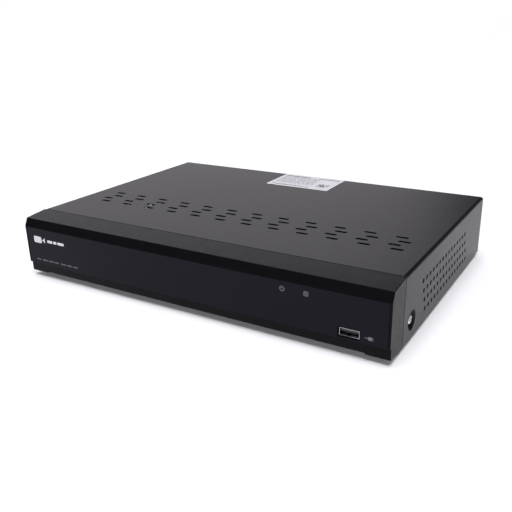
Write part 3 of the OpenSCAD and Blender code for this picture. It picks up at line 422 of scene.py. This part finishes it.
def prism(bm, outline, axis, start, end, edge=(0.0, 0.0), steps=3):
    """Draws an outline out along an axis, with its rims at both ends rounded; at() gives the units"""
    area = sum(a.x * b.y - b.x * a.y for a, b in zip(outline, outline[1:] + outline[:1]))
    if area < 0:
        outline = outline[::-1]
    stations = []
    for side, r in ((0, edge[0]), (1, edge[1])):
        angles = [k * math.pi / 2 / steps for k in range(steps + 1)] if r else [math.pi / 2]
        for a in angles if side == 0 else reversed(angles):
            depth = r * (1 - math.sin(a))
            rise = r * (1 - math.cos(a))
            stations.append((start + rise if side == 0 else end - rise, depth))
    rings = []
    for place, depth in stations:
        ring = []
        for p in inset(outline, depth) if depth > 1e-9 else outline:
            spot = {"x": (place, p.x, p.y), "y": (p.x, place, p.y), "z": (p.x, p.y, place)}[axis]
            ring.append(bm.verts.new(at(*spot)))
        rings.append(ring)
    count = len(outline)
    for low, high in zip(rings, rings[1:]):
        for k in range(count):
            bm.faces.new((low[k], low[(k + 1) % count], high[(k + 1) % count], high[k]))
    bm.faces.new(rings[0][::-1])
    bm.faces.new(rings[-1])


def at(x, y, z):
    """A point given in millimetres from the foremost line and the table"""
    return Vector((x, y + FRONT, z)) * MM


def local(point):
    """Millimetres from the foremost line and the table, of a point in the frame"""
    return Vector((point.x / MM, point.y / MM - FRONT, point.z / MM))


def box_of(node):
    """A node's lowest and highest corners, in the same millimetres"""
    return [local(p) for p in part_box(node)]


def block(bm, low, high, edge=0.0):
    """A box between two corners, with its upright and top edges rounded"""
    rim = min(0.7 * edge, (high[2] - low[2]) / 2.01)
    outline = box_outline(low[0], low[1], high[0], high[1])
    prism(bm, fillet(outline, edge, 2) if edge else outline, "z", low[2], high[2], (0.0, rim), 2)


def linked(name, data):
    """A new object in the scene"""
    made = bpy.data.objects.new(name, data)
    bpy.context.scene.collection.objects.link(made)
    return made


def drawn(name, bm):
    """A new object from a bmesh, which is freed"""
    mesh = bpy.data.meshes.new(name)
    bm.to_mesh(mesh)
    bm.free()
    return linked(name, mesh)


def solid(name, build):
    """A new object from mesh code"""
    bm = bmesh.new()
    build(bm)
    bmesh.ops.recalc_face_normals(bm, faces=bm.faces)
    return drawn(name, bm)


def cut(base, tool):
    """Cuts a closed piece out of another, and keeps the result as that one's own mesh"""
    step = base.modifiers.new("step", "BOOLEAN")
    step.operation, step.object, step.solver = "DIFFERENCE", tool, "EXACT"
    bpy.context.view_layer.update()
    result = bpy.data.meshes.new_from_object(base.evaluated_get(bpy.context.evaluated_depsgraph_get()))
    base.modifiers.clear()
    base.data = result
    bpy.data.objects.remove(tool)


def finish_piece(thing, body, slot, look=None, smooth=35, replaces=()):
    """Finish, shading and place in the frame of a new piece"""
    mesh = thing.data
    mesh.materials.clear()
    mesh.materials.append(looks[look or slot].mat)
    mesh.shade_smooth()
    mesh.set_sharp_from_angle(angle=math.radians(smooth))
    even = thing.modifiers.new("flat", "WEIGHTED_NORMAL")
    even.weight, even.keep_sharp = 100, True
    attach(thing, body)
    if replaces:
        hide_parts(*replaces)
    return thing


# Front bezel: a moulded shell between two cheeks

SEAM = 21.5  # where the bezel meets the cover
BROW = (2.7, 47.6)  # front edge of the sloping top strip
BAND = 41.7  # lower edge of the dark band
STEP = (1.7, 11.9)  # depth and height of the step under the gloss panel
POCKET = HALF_WIDTH - 1.2  # ends of the gloss panel
FOOT_IN = HALF_WIDTH - 16  # inner ends of the corner feet
FOOT_FRONT, FOOT_BACK, CHEEK_BACK = 4.2, 2.2, 2.1  # heights of the underside
WALL_IN, FLOOR_LOW, BACK = 3.3, 5.0, 20.6
TONGUE = ((-142, 20.5, 46.7), (142, 26.5, 48.6))  # runs under the cover
POSTS = (((-128, -45, 40, 140.5), 3.6, 20.6), ((76, 132), 2.6, 17.2))  # places, radius, end
POST_Z = 37
SOCKET_HOLE = (117, 13, 131, 19.4)
LAMPS, LAMP_Z, LAMP_R = (79.5, 95.9), 30.5, 1.7


def bezel_shell(start, end, low_front, low_back):
    """A stretch of the moulded shell, whose underside runs from one height in front to another behind"""
    def build(bm):
        outline = [
            (SEAM, CASE_TOP), BROW, (0, BAND), (0, BAND - 0.2), (STEP[0], BAND - 0.2), (STEP[0], low_front),
            (BACK, low_back), (BACK, FLOOR_LOW + 2), (WALL_IN, FLOOR_LOW + 2), (WALL_IN, BAND - 2),
            (4.3, 45.6), (BACK, CASE_TOP - 2), (SEAM, CASE_TOP - 2),
        ]
        radii = [0.25, 0.7, 0.3, 0.08, 0.3, 0.5, 0.3, 0.3, 0.6, 0.8, 0.8, 0.0, 0.2]
        prism(bm, fillet(outline, radii), "x", start, end)

    return build


def bezel_cheek(side):
    """The outer skin at one end, with a rounded outer rim"""
    def build(bm):
        outline = [
            (SEAM, CASE_TOP), BROW, (0, BAND), (0, STEP[1]), STEP, (STEP[0], FOOT_FRONT), (SEAM, CHEEK_BACK),
        ]
        rim = (0.0, 0.4) if side > 0 else (0.4, 0.0)
        ends = sorted((side * POCKET, side * HALF_WIDTH))
        prism(bm, fillet(outline, [0.45, 0.7, 0.45, 0.45, 0.3, 0.6, 0.45]), "x", *ends, rim, 4)

    return build


def bezel_posts(bm):
    """The tongue under the cover, and the posts that the screws enter"""
    block(bm, *TONGUE)
    for places, r, end in POSTS:
        for x in places:
            prism(bm, disc_outline(x, POST_Z, r), "y", WALL_IN - 0.1, end, (0.0, 0.2))


def bezel_openings(bm):
    """Openings behind the gloss panel for the data socket and the lamps"""
    prism(bm, fillet(box_outline(*SOCKET_HOLE), 0.5), "y", -1, 6)
    for x in LAMPS:
        prism(bm, disc_outline(x, LAMP_Z, LAMP_R), "y", -1, 6)


bezel = solid("front_bezel", bezel_shell(-FOOT_IN, FOOT_IN, FLOOR_LOW, FLOOR_LOW))
cut(bezel, solid("part", bezel_openings))
bm = bmesh.new()
bm.from_mesh(bezel.data)
feet = [bezel_shell(*sorted((s * FOOT_IN, s * POCKET)), FOOT_FRONT, FOOT_BACK) for s in (-1, 1)]
for build in (bezel_cheek(-1), bezel_cheek(1), *feet, bezel_posts):
    build(bm)
bmesh.ops.recalc_face_normals(bm, faces=bm.faces)
bm.to_mesh(bezel.data)
bm.free()
finish_piece(bezel, "case", "bezel_plastic", smooth=28, replaces=["bezel"])

# Gloss panel with the opening for the data socket

low, high = box_of("fascia")
outline = fillet(box_outline(low.x, low.z, high.x, high.z), 0.5)
fascia = solid("gloss_fascia", lambda bm: prism(bm, outline, "y", low.y, high.y, (0.22, 0.0)))
opening = fillet(box_outline(*SOCKET_HOLE), 0.55)
cut(fascia, solid("part", lambda bm: prism(bm, opening, "y", low.y - 1, high.y + 1)))
rim = fascia.modifiers.new("rim", "BEVEL")
rim.width, rim.segments, rim.limit_method, rim.angle_limit = 0.12 * MM, 2, "ANGLE", math.radians(50)
finish_piece(fascia, "case", "gloss_panel", smooth=28, replaces=["fascia"])
FACE = low.y

# Labels: plain stickers with rules and blocks where a maker prints a table

PAPER = 0.1


def bars(bm, rows, z, height=0.02):
    """Thin ink: flat boxes on a face at a height"""
    for row in rows:
        prism(bm, box_outline(*row), "z", z - EPS, z + height)


HEADINGS = ((0.0, 0.46, 0.0, 2.2), (0.62, 1.0, 0.2, 1.9))  # start and end across, top and bottom
LINES, LINE_PITCH, LINE_HEIGHT = 9, 2.5, 1.15
DOTS, DOT, DOT_PITCH = 9, 1.05, 1.1
UPRIGHTS, UPRIGHT_PITCH, UPRIGHT_WIDTHS = 26, 1.4, (0.4, 0.7, 0.95)


def label_rows(low, high, pick):
    """The ink of a label between two corners, as boxes; the draws are the same each run"""
    draw = random.Random(11)
    rows = {"dark": [], "pale": []}
    left, rear = low.x + 3.2, high.y - 3.4
    width = high.x - low.x - 6.4
    for start, end, top, bottom in HEADINGS:
        rows["dark"].append((left + width * start, rear - bottom, left + width * end, rear - top))
    for k in range(LINES):
        ink = "pale" if k % 3 else "dark"
        y = rear - 4.4 - k * LINE_PITCH
        x = left
        while x < left + width * 0.68:
            step = draw.uniform(2.5, 9)
            rows[ink].append((x, y - LINE_HEIGHT, min(x + step, left + width * 0.7), y))
            x += step + draw.uniform(0.7, 1.6)
    # A square of random dots
    corner = (left + width * 0.78, rear - 27)
    for i in range(DOTS):
        for j in range(DOTS):
            if draw.random() < 0.68:
                x, y = corner[0] + i * DOT_PITCH, corner[1] + j * DOT_PITCH
                rows["dark"].append((x, y, x + DOT, y + DOT))
    # A row of upright bars
    for k in range(UPRIGHTS):
        x = left + 1 + k * UPRIGHT_PITCH
        rows["dark"].append((x, low.y + 2.6, x + draw.choice(UPRIGHT_WIDTHS), low.y + 5.6))
    # A thin frame round it all
    margin = 1.3
    frame_w, frame_h = high.x - low.x - 2 * margin, high.y - low.y - 2 * margin
    for x0, y0, x1, y1 in ((0, 0, 1, 0.012), (0, 0.988, 1, 1), (0, 0, 0.007, 1), (0.993, 0, 1, 1)):
        rows["pale"].append((low.x + margin + x0 * frame_w, low.y + margin + y0 * frame_h,
                             low.x + margin + x1 * frame_w, low.y + margin + y1 * frame_h))
    return rows[pick]


def print_label(name, body, low, high, z):
    """The dark and the pale ink of a label, as two pieces"""
    for pick, ink in (("dark", "ink_grey"), ("pale", "ink_pale")):
        rows = label_rows(low, high, pick)
        piece = solid(f"{name}_{pick}", lambda bm: bars(bm, rows, z))
        finish_piece(piece, body, "label_paper", ink)


def sticker(name, body, low, high, corner, bottom, top, replaces=()):
    """A sheet of label paper"""
    outline = fillet(box_outline(low.x, low.y, high.x, high.y), corner)
    sheet = solid(name, lambda bm: prism(bm, outline, "z", bottom, top, (0.0, 0.03), 2))
    finish_piece(sheet, body, "label_paper", replaces=replaces)


low, high = box_of("rating_label")
sticker("label_sheet", "cover", low, high, 1.2, low.z, low.z + PAPER, ["rating_label"])
field = (low.x + 1.9, low.y + 1.9, high.x - 1.9, high.y - 1.9)
tinted = solid("label_field", lambda bm: bars(bm, [field], low.z + PAPER, 0.008))
finish_piece(tinted, "cover", "label_paper", "ink_field")
print_label("label_rules", "cover", low, high, low.z + PAPER)


# Marks printed on the gloss panel: plain pictures, no lettering


def front_print(name, outlines, look):
    """Flat ink on the gloss panel"""
    def build(bm):
        for outline in outlines:
            prism(bm, outline, "y", FACE - 0.05, FACE + EPS)

    finish_piece(solid(name, build), "case", "gloss_panel", look)


def camera_mark(x, z):
    """A small picture of a video camera with a row of plain bars"""
    lens = [Vector((x + 8.9, z + 2.6)), Vector((x + 12, z + 0.6)), Vector((x + 12, z + 4.6))]
    shapes = [fillet(box_outline(x, z, x + 8.2, z + 5.2), 0.9), lens]
    for start, width in ((14.6, 5.6), (21.2, 3.4), (25.6, 6.8)):
        shapes.append(fillet(box_outline(x + start, z + 1.5, x + start + width, z + 3.7), 0.6))
    return shapes


def power_mark(x, z, r):
    """A broken ring with a bar in its gap"""
    return [arc_outline(x, z, r - 0.45, r, 125, 415), box_outline(x - 0.25, z, x + 0.25, z + r + 0.3)]


def disk_mark(x, z, r):
    """A stack of three disks between two sides"""
    line, side = 0.55, 0.5
    shapes = []
    for k in range(3):
        level = z - r + k * r * 0.75
        shapes.append(fillet(box_outline(x - r, level, x + r, level + line), 0.2))
    for left in (x - r, x + r - side):
        shapes.append(box_outline(left, z - r, left + side, z + 0.5 * r + line))
    return shapes


def plug_mark(x, z):
    """A plug: its lead, its body and two pins"""
    lead = box_outline(x, z - 0.22, x + 2, z + 0.22)
    body = fillet(box_outline(x + 2, z - 1.1, x + 4.1, z + 1.1), 0.3)
    pins = [box_outline(x + 4.1, z + pin, x + 5.3, z + pin + 0.4) for pin in (-0.75, 0.35)]
    return [lead, body, *pins]


def fine_rule(x, z, widths):
    """A row of short bars where a caption would be"""
    return [fillet(box_outline(x + k * 6.6, z, x + k * 6.6 + width, z + 1.1), 0.3)
            for k, width in enumerate(widths)]


front_print("camera_mark", camera_mark(-141.6, 29.6), "print_white")
front_print("fine_rule", fine_rule(-141.4, 15.2, (4.4, 5.4, 5.6, 4.2, 5.5, 5.2, 4.8)), "print_dim")
front_print("lamp_marks", power_mark(LAMPS[0], 36, 1.75) + disk_mark(LAMPS[1], 36, 1.7), "print_grey")
front_print("plug_mark", plug_mark(134.4, 16.2), "print_grey")


# Leaf springs on the floor of the front data socket

SPRING = ((0.15, 0.42), (0.9, 0.62), (1.7, 1.05), (2.4, 1.2), (3.4, 1.1), (5.4, 0.45))  # depth, height
SPRING_APART, SPRING_HALF, SPRING_T = 2.85, 2.5, 0.15


def socket_springs(bm):
    low, high = box_of("front_usb_shell")
    over = [Vector((low.y + y, low.z + z)) for y, z in SPRING]
    under = [p - Vector((0, SPRING_T)) for p in reversed(over)]
    for side in (-1, 1):
        middle = (low.x + high.x) / 2 + side * SPRING_APART
        prism(bm, over + under, "x", middle - SPRING_HALF, middle + SPRING_HALF, (0.04, 0.04))


finish_piece(solid("socket_springs", socket_springs), "case", "bright_steel")


# Feet: moulded rubber with a rounded rim and a recess


FOOT_PROFILE = ((0, 1.0), (3.6, 1.0), (4.2, 0.25), (4.6, 0.0), (6.6, 0.0), (7.0, 0.12), (7.25, 0.5),
                (7.95, 2.6), (8.0, 3.0), (0, 3.0))  # radius, height
FOOT_X, FOOT_Y = (-124, 124), (34, 192)


def turned(bm, profile, x, y, sides=40):
    """A closed solid of revolution about an upright axis; its profile starts and ends on the axis"""
    rings = []
    for r, z in profile:
        ring = disc_outline(x, y, r, sides) if r else [Vector((x, y))]
        rings.append([bm.verts.new(at(p.x, p.y, z)) for p in ring])
    for a, b in zip(rings, rings[1:]):
        for k in range(sides):
            n = (k + 1) % sides
            corners = [a[k % len(a)], a[n % len(a)], b[n % len(b)], b[k % len(b)]]
            bm.faces.new(list(dict.fromkeys(corners)))


def rubber_feet(bm):
    for x in FOOT_X:
        for y in FOOT_Y:
            turned(bm, FOOT_PROFILE, x, y)


finish_piece(solid("moulded_feet", rubber_feet), "case", "foot_rubber", replaces=["rubber_feet"])


# Small parts of the boards


def welded(node):
    """A CAD node's mesh with its split corners joined"""
    bm = bmesh.new()
    bm.from_mesh(frame["nodes"][node].data)
    bmesh.ops.remove_doubles(bm, verts=bm.verts, dist=0.001 * MM)
    return bm


def separate(verts):
    """The vertices of each separate solid"""
    left = set(verts)
    solids = []
    while left:
        stack = [left.pop()]
        group = set(stack)
        while stack:
            here = stack.pop()
            beside = {edge.other_vert(here) for edge in here.link_edges} & left
            left -= beside
            group |= beside
            stack.extend(beside)
        solids.append(group)
    return solids


def islands(node):
    """The boxes of a node's separate solids, in millimetres from the foremost line and the table"""
    bm = welded(node)
    found = []
    for group in separate(bm.verts):
        ways = list(zip(*(local(v.co) for v in group)))
        found.append(([min(way) for way in ways], [max(way) for way in ways]))
    bm.free()
    return sorted(found)


def wires(node, name, colours):
    """A bundle of wires: the CAD node's own solids, each in its colour, from the lowest up"""
    bm = welded(node)
    groups = sorted(separate(bm.verts), key=lambda group: min(v.co.z for v in group))
    for k, group in enumerate(groups):
        for f in {f for v in group for f in v.link_faces}:
            f.material_index = k
    bundle = finish_piece(drawn(name, bm), "case", slot_of[node], colours[0], 50, [node])
    for colour in colours[1:]:
        bundle.data.materials.append(looks[colour].mat)


wires("disk_power_cable", "disk_power_wires", ["wire_yellow", "wire_black", "wire_black", "wire_red"])
wires("fan_cable", "fan_wires", ["wire_black", "wire_red"])

BOARD_PARTS = ("processor", "memory_chips", "video_decoders", "capacitors", "inductors", "cell_holder",
               "lan_transformer", "buzzer", "board_headers")
REAR_PARTS = ("bnc_housing", "rca_housing", "vga_socket", "hdmi_socket", "usb_sockets", "lan_socket",
              "terminal_block", "dc_jack")
SCREWED = ("case_screws", "heatsink", "cable_plugs")
board_low, board_high = box_of("main_board")
deck = board_high.z
taken = [box for node in BOARD_PARTS + REAR_PARTS + SCREWED for box in islands(node)
         if box[1][2] > deck and box[0][2] < deck + 4]


LEAD_STEPS = ((0.45, 0.1, 0.62), (1.15, 0.0, 0.16))  # reach, bottom, top
MEMORY_LEADS, DECODER_LEADS, LAN_LEADS, DRIVER_LEADS = (0.8, 0.34), (0.65, 0.3), (1.27, 0.5), (1.27, 0.4)


def gull_leads(bm, low, high, axis, pitch, width):
    """Rows of bent leads along two sides of a chip"""
    along, across = (1, 0) if axis == "x" else (0, 1)
    count = int((high[along] - low[along] - 1) / pitch)
    first = (low[along] + high[along]) / 2 - (count - 1) * pitch / 2
    for k in range(count):
        for side in (-1, 1):
            face = high[across] if side > 0 else low[across]
            for reach, bottom, top in LEAD_STEPS:
                a, b = sorted((face - side * 0.05, face + side * reach))
                lo, hi = [0, 0, deck + bottom], [0, 0, deck + top]
                lo[across], hi[across] = a, b
                lo[along], hi[along] = first + k * pitch - width / 2, first + k * pitch + width / 2
                block(bm, lo, hi)


def chip_leads(bm):
    for low, high in islands("memory_chips"):
        gull_leads(bm, low, high, "x", *MEMORY_LEADS)
    for low, high in islands("video_decoders"):
        gull_leads(bm, low, high, "x", *DECODER_LEADS)
        gull_leads(bm, low, high, "y", *DECODER_LEADS)
    for low, high in islands("lan_transformer"):
        gull_leads(bm, low, high, "y", *LAN_LEADS)


finish_piece(solid("chip_leads", chip_leads), "case", "nickel", "tin")


def free_spots(seed, count, w, d, zone):
    """Places on the board that no other part takes; each is claimed as it is found"""
    grid, margin, tries = 0.8, 0.5, count * 40
    draw = random.Random(seed)
    spots = []
    for _ in range(tries):
        if len(spots) == count:
            break
        x, y = draw.uniform(zone[0], zone[2]), draw.uniform(zone[1], zone[3])
        x, y = round(x / grid) * grid, round(y / grid) * grid
        across = draw.random() < 0.4
        hw, hd = (d / 2, w / 2) if across else (w / 2, d / 2)
        if all(x + hw + margin < a[0] or x - hw - margin > b[0]
               or y + hd + margin < a[1] or y - hd - margin > b[1] for a, b in taken):
            spots.append((x, y, across))
            taken.append(([x - hw, y - hd, deck], [x + hw, y + hd, deck + 1]))
    return spots


zone = (board_low.x + 4, board_low.y + 4, board_high.x - 4, board_high.y - 18)
LEADS_OUT = 1.6
for low, high in islands("memory_chips") + islands("video_decoders") + islands("lan_transformer"):
    taken.append(([low[0] - LEADS_OUT, low[1] - LEADS_OUT, deck],
                  [high[0] + LEADS_OUT, high[1] + LEADS_OUT, deck + 1]))
DRIVER, RESISTOR, CERAMIC = (5.0, 4.0, 1.5), (1.6, 0.8, 0.5), (2.0, 1.25, 1.0)  # width, depth, height
RESISTOR_BODY, CERAMIC_BODY = (1.5, 0.76, 0.48), (1.9, 1.2, 0.96)  # inside their tinned ends
drivers = free_spots(3, 9, *DRIVER[:2], zone)
resistors = free_spots(5, 120, *RESISTOR[:2], zone)
ceramics = free_spots(7, 90, *CERAMIC[:2], zone)


def bodies_at(spots, w, d, h, edge):
    """The same small body at many places"""
    def build(bm):
        for x, y, across in spots:
            a, b = (d / 2, w / 2) if across else (w / 2, d / 2)
            block(bm, (x - a, y - b, deck), (x + a, y + b, deck + h), edge)

    return build


def caps_at(bm):
    """Tinned ends of the small parts, a little proud of their bodies"""
    proud, half = 0.04, 0.2
    for spots, (w, d, h) in ((resistors, RESISTOR), (ceramics, CERAMIC)):
        for x, y, across in spots:
            for side in (-1, 1):
                a, b = side * (w / 2 - half / 2), 0.0
                ca, cb = half, d / 2 + proud
                if across:
                    a, b, ca, cb = b, a, cb, ca
                block(bm, (x + a - ca, y + b - cb, deck), (x + a + ca, y + b + cb, deck + h + proud), 0.05)


def driver_leads(bm):
    for x, y, across in drivers:
        a, b = (DRIVER[1] / 2, DRIVER[0] / 2) if across else (DRIVER[0] / 2, DRIVER[1] / 2)
        axis = "x" if across else "y"
        gull_leads(bm, (x - a, y - b, deck), (x + a, y + b, deck + 1), axis, *DRIVER_LEADS)


finish_piece(solid("driver_chips", bodies_at(drivers, *DRIVER, 0.15)), "case", "chip_black")
finish_piece(solid("driver_leads", driver_leads), "case", "nickel", "tin")
finish_piece(solid("resistors", bodies_at(resistors, *RESISTOR_BODY, 0.04)), "case", "chip_black")
finish_piece(solid("ceramic_capacitors", bodies_at(ceramics, *CERAMIC_BODY, 0.05)),
             "case", "header_ivory", "ceramic_tan")
finish_piece(solid("part_ends", caps_at), "case", "nickel", "tin")


def silk_frames(bm):
    """White outlines printed round the larger parts"""
    away, inside, w = 1.7, 0.6, 0.22
    for node in BOARD_PARTS:
        for low, high in islands(node):
            x0, y0 = max(low[0] - away, board_low.x + inside), max(low[1] - away, board_low.y + inside)
            x1, y1 = high[0] + away, high[1] + away
            along = [(x0, y0, x1, y0 + w), (x0, y1 - w, x1, y1)]
            across = [(x0, y0, x0 + w, y1), (x1 - w, y0, x1, y1)]
            bars(bm, along + across, deck)


finish_piece(solid("board_outlines", silk_frames), "case", "board_green", "silk_white")


# Label in the pressed recess of the drive's lid

low, high = box_of("hdd_lid")
RECESS = high.z - 1.0  # the lid's screws stand half a millimetre over it, the recess lies as far under
LABEL_IN, LABEL_END, DRIVE_PAPER = 20, 58, 0.09
low, high = Vector((low.x + LABEL_IN, low.y + LABEL_IN, 0)), Vector((high.x - LABEL_IN, low.y + LABEL_END, 0))
sticker("drive_label", "case", low, high, 1.5, RECESS - 2 * EPS, RECESS + DRIVE_PAPER)
print_label("drive_rules", "case", low, high, RECESS + DRIVE_PAPER)


# ---- Floor, light and camera ----


def pale_floor():
    """Plain pale studio paper"""
    look = Look("pale_floor", Specular_IOR_Level=0.2)
    slow = look.noise(1.6, 4)
    look.set(
        Base_Color=look.blend(look.span(slow, 0, 1), (0.865, 0.867, 0.9), (0.905, 0.907, 0.94)),
        Roughness=look.span(look.noise(30, 3), 0.6, 0.75),
    )
    return look.relief(look.noise(240, 3), 0.04, 0.2 * MM)


bm = bmesh.new()
bmesh.ops.create_grid(bm, x_segments=24, y_segments=24, size=9)
floor = drawn("floor", bm)
floor.data.materials.append(pale_floor().mat)
floor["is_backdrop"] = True


# The room's levels: round the compass as the cosine from the turned direction, and upwards as the sine
ROOM_TURN = 45
ROOM_SIDE = ((0.0, 0.04), (0.6, 0.03), (0.9205, 0.01), (0.931, 0.62), (0.944, 0.88), (0.97, 0.98), (1.0, 1.0))
ROOM_HEIGHT = ((0.0, 0.35), (0.24, 0.365), (0.36, 0.57), (0.56, 1.0), (0.78, 0.15))
ROOM_GAIN = 1.92
ROOM_FILL = 0.04
ROOM_COLOUR = (0.99, 0.955, 1.0)
BACKDROP = 1.05


def studio():
    """A dim room with one pale wall, behind the object and to its left; the camera sees it white all round"""
    world = bpy.data.worlds.new("studio")
    bpy.context.scene.world = world
    world.use_nodes = True
    tree = world.node_tree
    tree.nodes.clear()

    def node(kind, settings=None, **inputs):
        return add_node(tree, kind, settings, **inputs)

    def maths(operation, *values, kind="ShaderNodeMath", output=0):
        inputs = {f"_{k}": value for k, value in enumerate(values)}
        return node(kind, {"operation": operation}, **inputs).outputs[output]

    def ramp(value, stops):
        made = node("ShaderNodeValToRGB", Fac=value)
        while len(made.color_ramp.elements) < len(stops):
            made.color_ramp.elements.new(0.5)
        for element, (place, level) in zip(made.color_ramp.elements, stops):
            element.position = place
            element.color = (level, level, level, 1)
        return made.outputs[0]

    vectors = "ShaderNodeVectorMath"
    direction = node("ShaderNodeTexCoord").outputs["Generated"]
    turn = math.radians(ROOM_TURN)
    brightest = (-math.sin(turn), math.cos(turn), 0.0)
    flat = maths("MULTIPLY", direction, (1.0, 1.0, 0.0), kind=vectors)
    flat = maths("NORMALIZE", flat, kind=vectors)
    side = maths("DOT_PRODUCT", flat, brightest, kind=vectors, output="Value")
    side = maths("MULTIPLY_ADD", side, 0.5, 0.5)
    height = node("ShaderNodeSeparateXYZ", Vector=direction).outputs["Z"]
    level = maths("MULTIPLY", ramp(side, ROOM_SIDE), ramp(height, ROOM_HEIGHT))
    level = maths("MULTIPLY_ADD", level, ROOM_GAIN, ROOM_FILL)
    seen = node("ShaderNodeLightPath").outputs["Is Camera Ray"]
    level = node("ShaderNodeMix", {"data_type": "FLOAT"}, _0=seen, _2=level, _3=BACKDROP).outputs[0]
    back = node("ShaderNodeBackground", Color=ROOM_COLOUR, Strength=level)
    out = node("ShaderNodeOutputWorld")
    tree.links.new(back.outputs[0], out.inputs["Surface"])


studio()


def soft_light(name, place, aim, size, watts, mirrored=True):
    """An area light; one that isn't mirrored leaves no highlight on gloss and metal"""
    data = bpy.data.lights.new(name, "AREA")
    data.shape, data.size, data.size_y = "RECTANGLE", size[0], size[1]
    data.energy = watts
    lamp = linked(name, data)
    lamp.visible_glossy = mirrored
    lamp.location = place
    lamp.rotation_mode = "QUATERNION"
    lamp.rotation_quaternion = (Vector(aim) - Vector(place)).to_track_quat("-Z", "Y")


sun = bpy.data.lights.new("sky", "SUN")
sun.energy, sun.angle = 3.25, math.radians(45)
sky = linked("sky", sun)
sky.rotation_euler = (math.radians(11), math.radians(6), 0)
soft_light("right_fill", (1.9, -0.6, 1.2), (0, 0, 0), (1.2, 1.2), 2)
soft_light("front_fill", (0.1, -1.6, 0.2), (0, -0.1, 0), (2.0, 0.3), 28, mirrored=False)

AZIMUTH, ELEVATION, ROLL = (math.radians(a) for a in (31.54, 20.89, -1.3))
CAMERA_AT = (0.2538, -0.4242, 0.1943)

camera_data = bpy.data.cameras.new("camera")
camera_data.lens, camera_data.sensor_width = 45.0, 36.0
camera_data.clip_start, camera_data.clip_end = 0.01, 60
camera = linked("camera", camera_data)
level = math.cos(ELEVATION)
ahead = Vector((-math.sin(AZIMUTH) * level, math.cos(AZIMUTH) * level, -math.sin(ELEVATION)))
right = ahead.cross(Vector((0, 0, 1))).normalized()
up = right.cross(ahead)
right, up = (right * math.cos(ROLL) + up * math.sin(ROLL), up * math.cos(ROLL) - right * math.sin(ROLL))
turn = Matrix((right, up, -ahead)).transposed().to_4x4()
camera.matrix_world = Matrix.Translation(CAMERA_AT) @ turn
bpy.context.scene.camera = camera
bpy.context.scene.view_settings.view_transform = "Standard"

low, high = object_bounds()
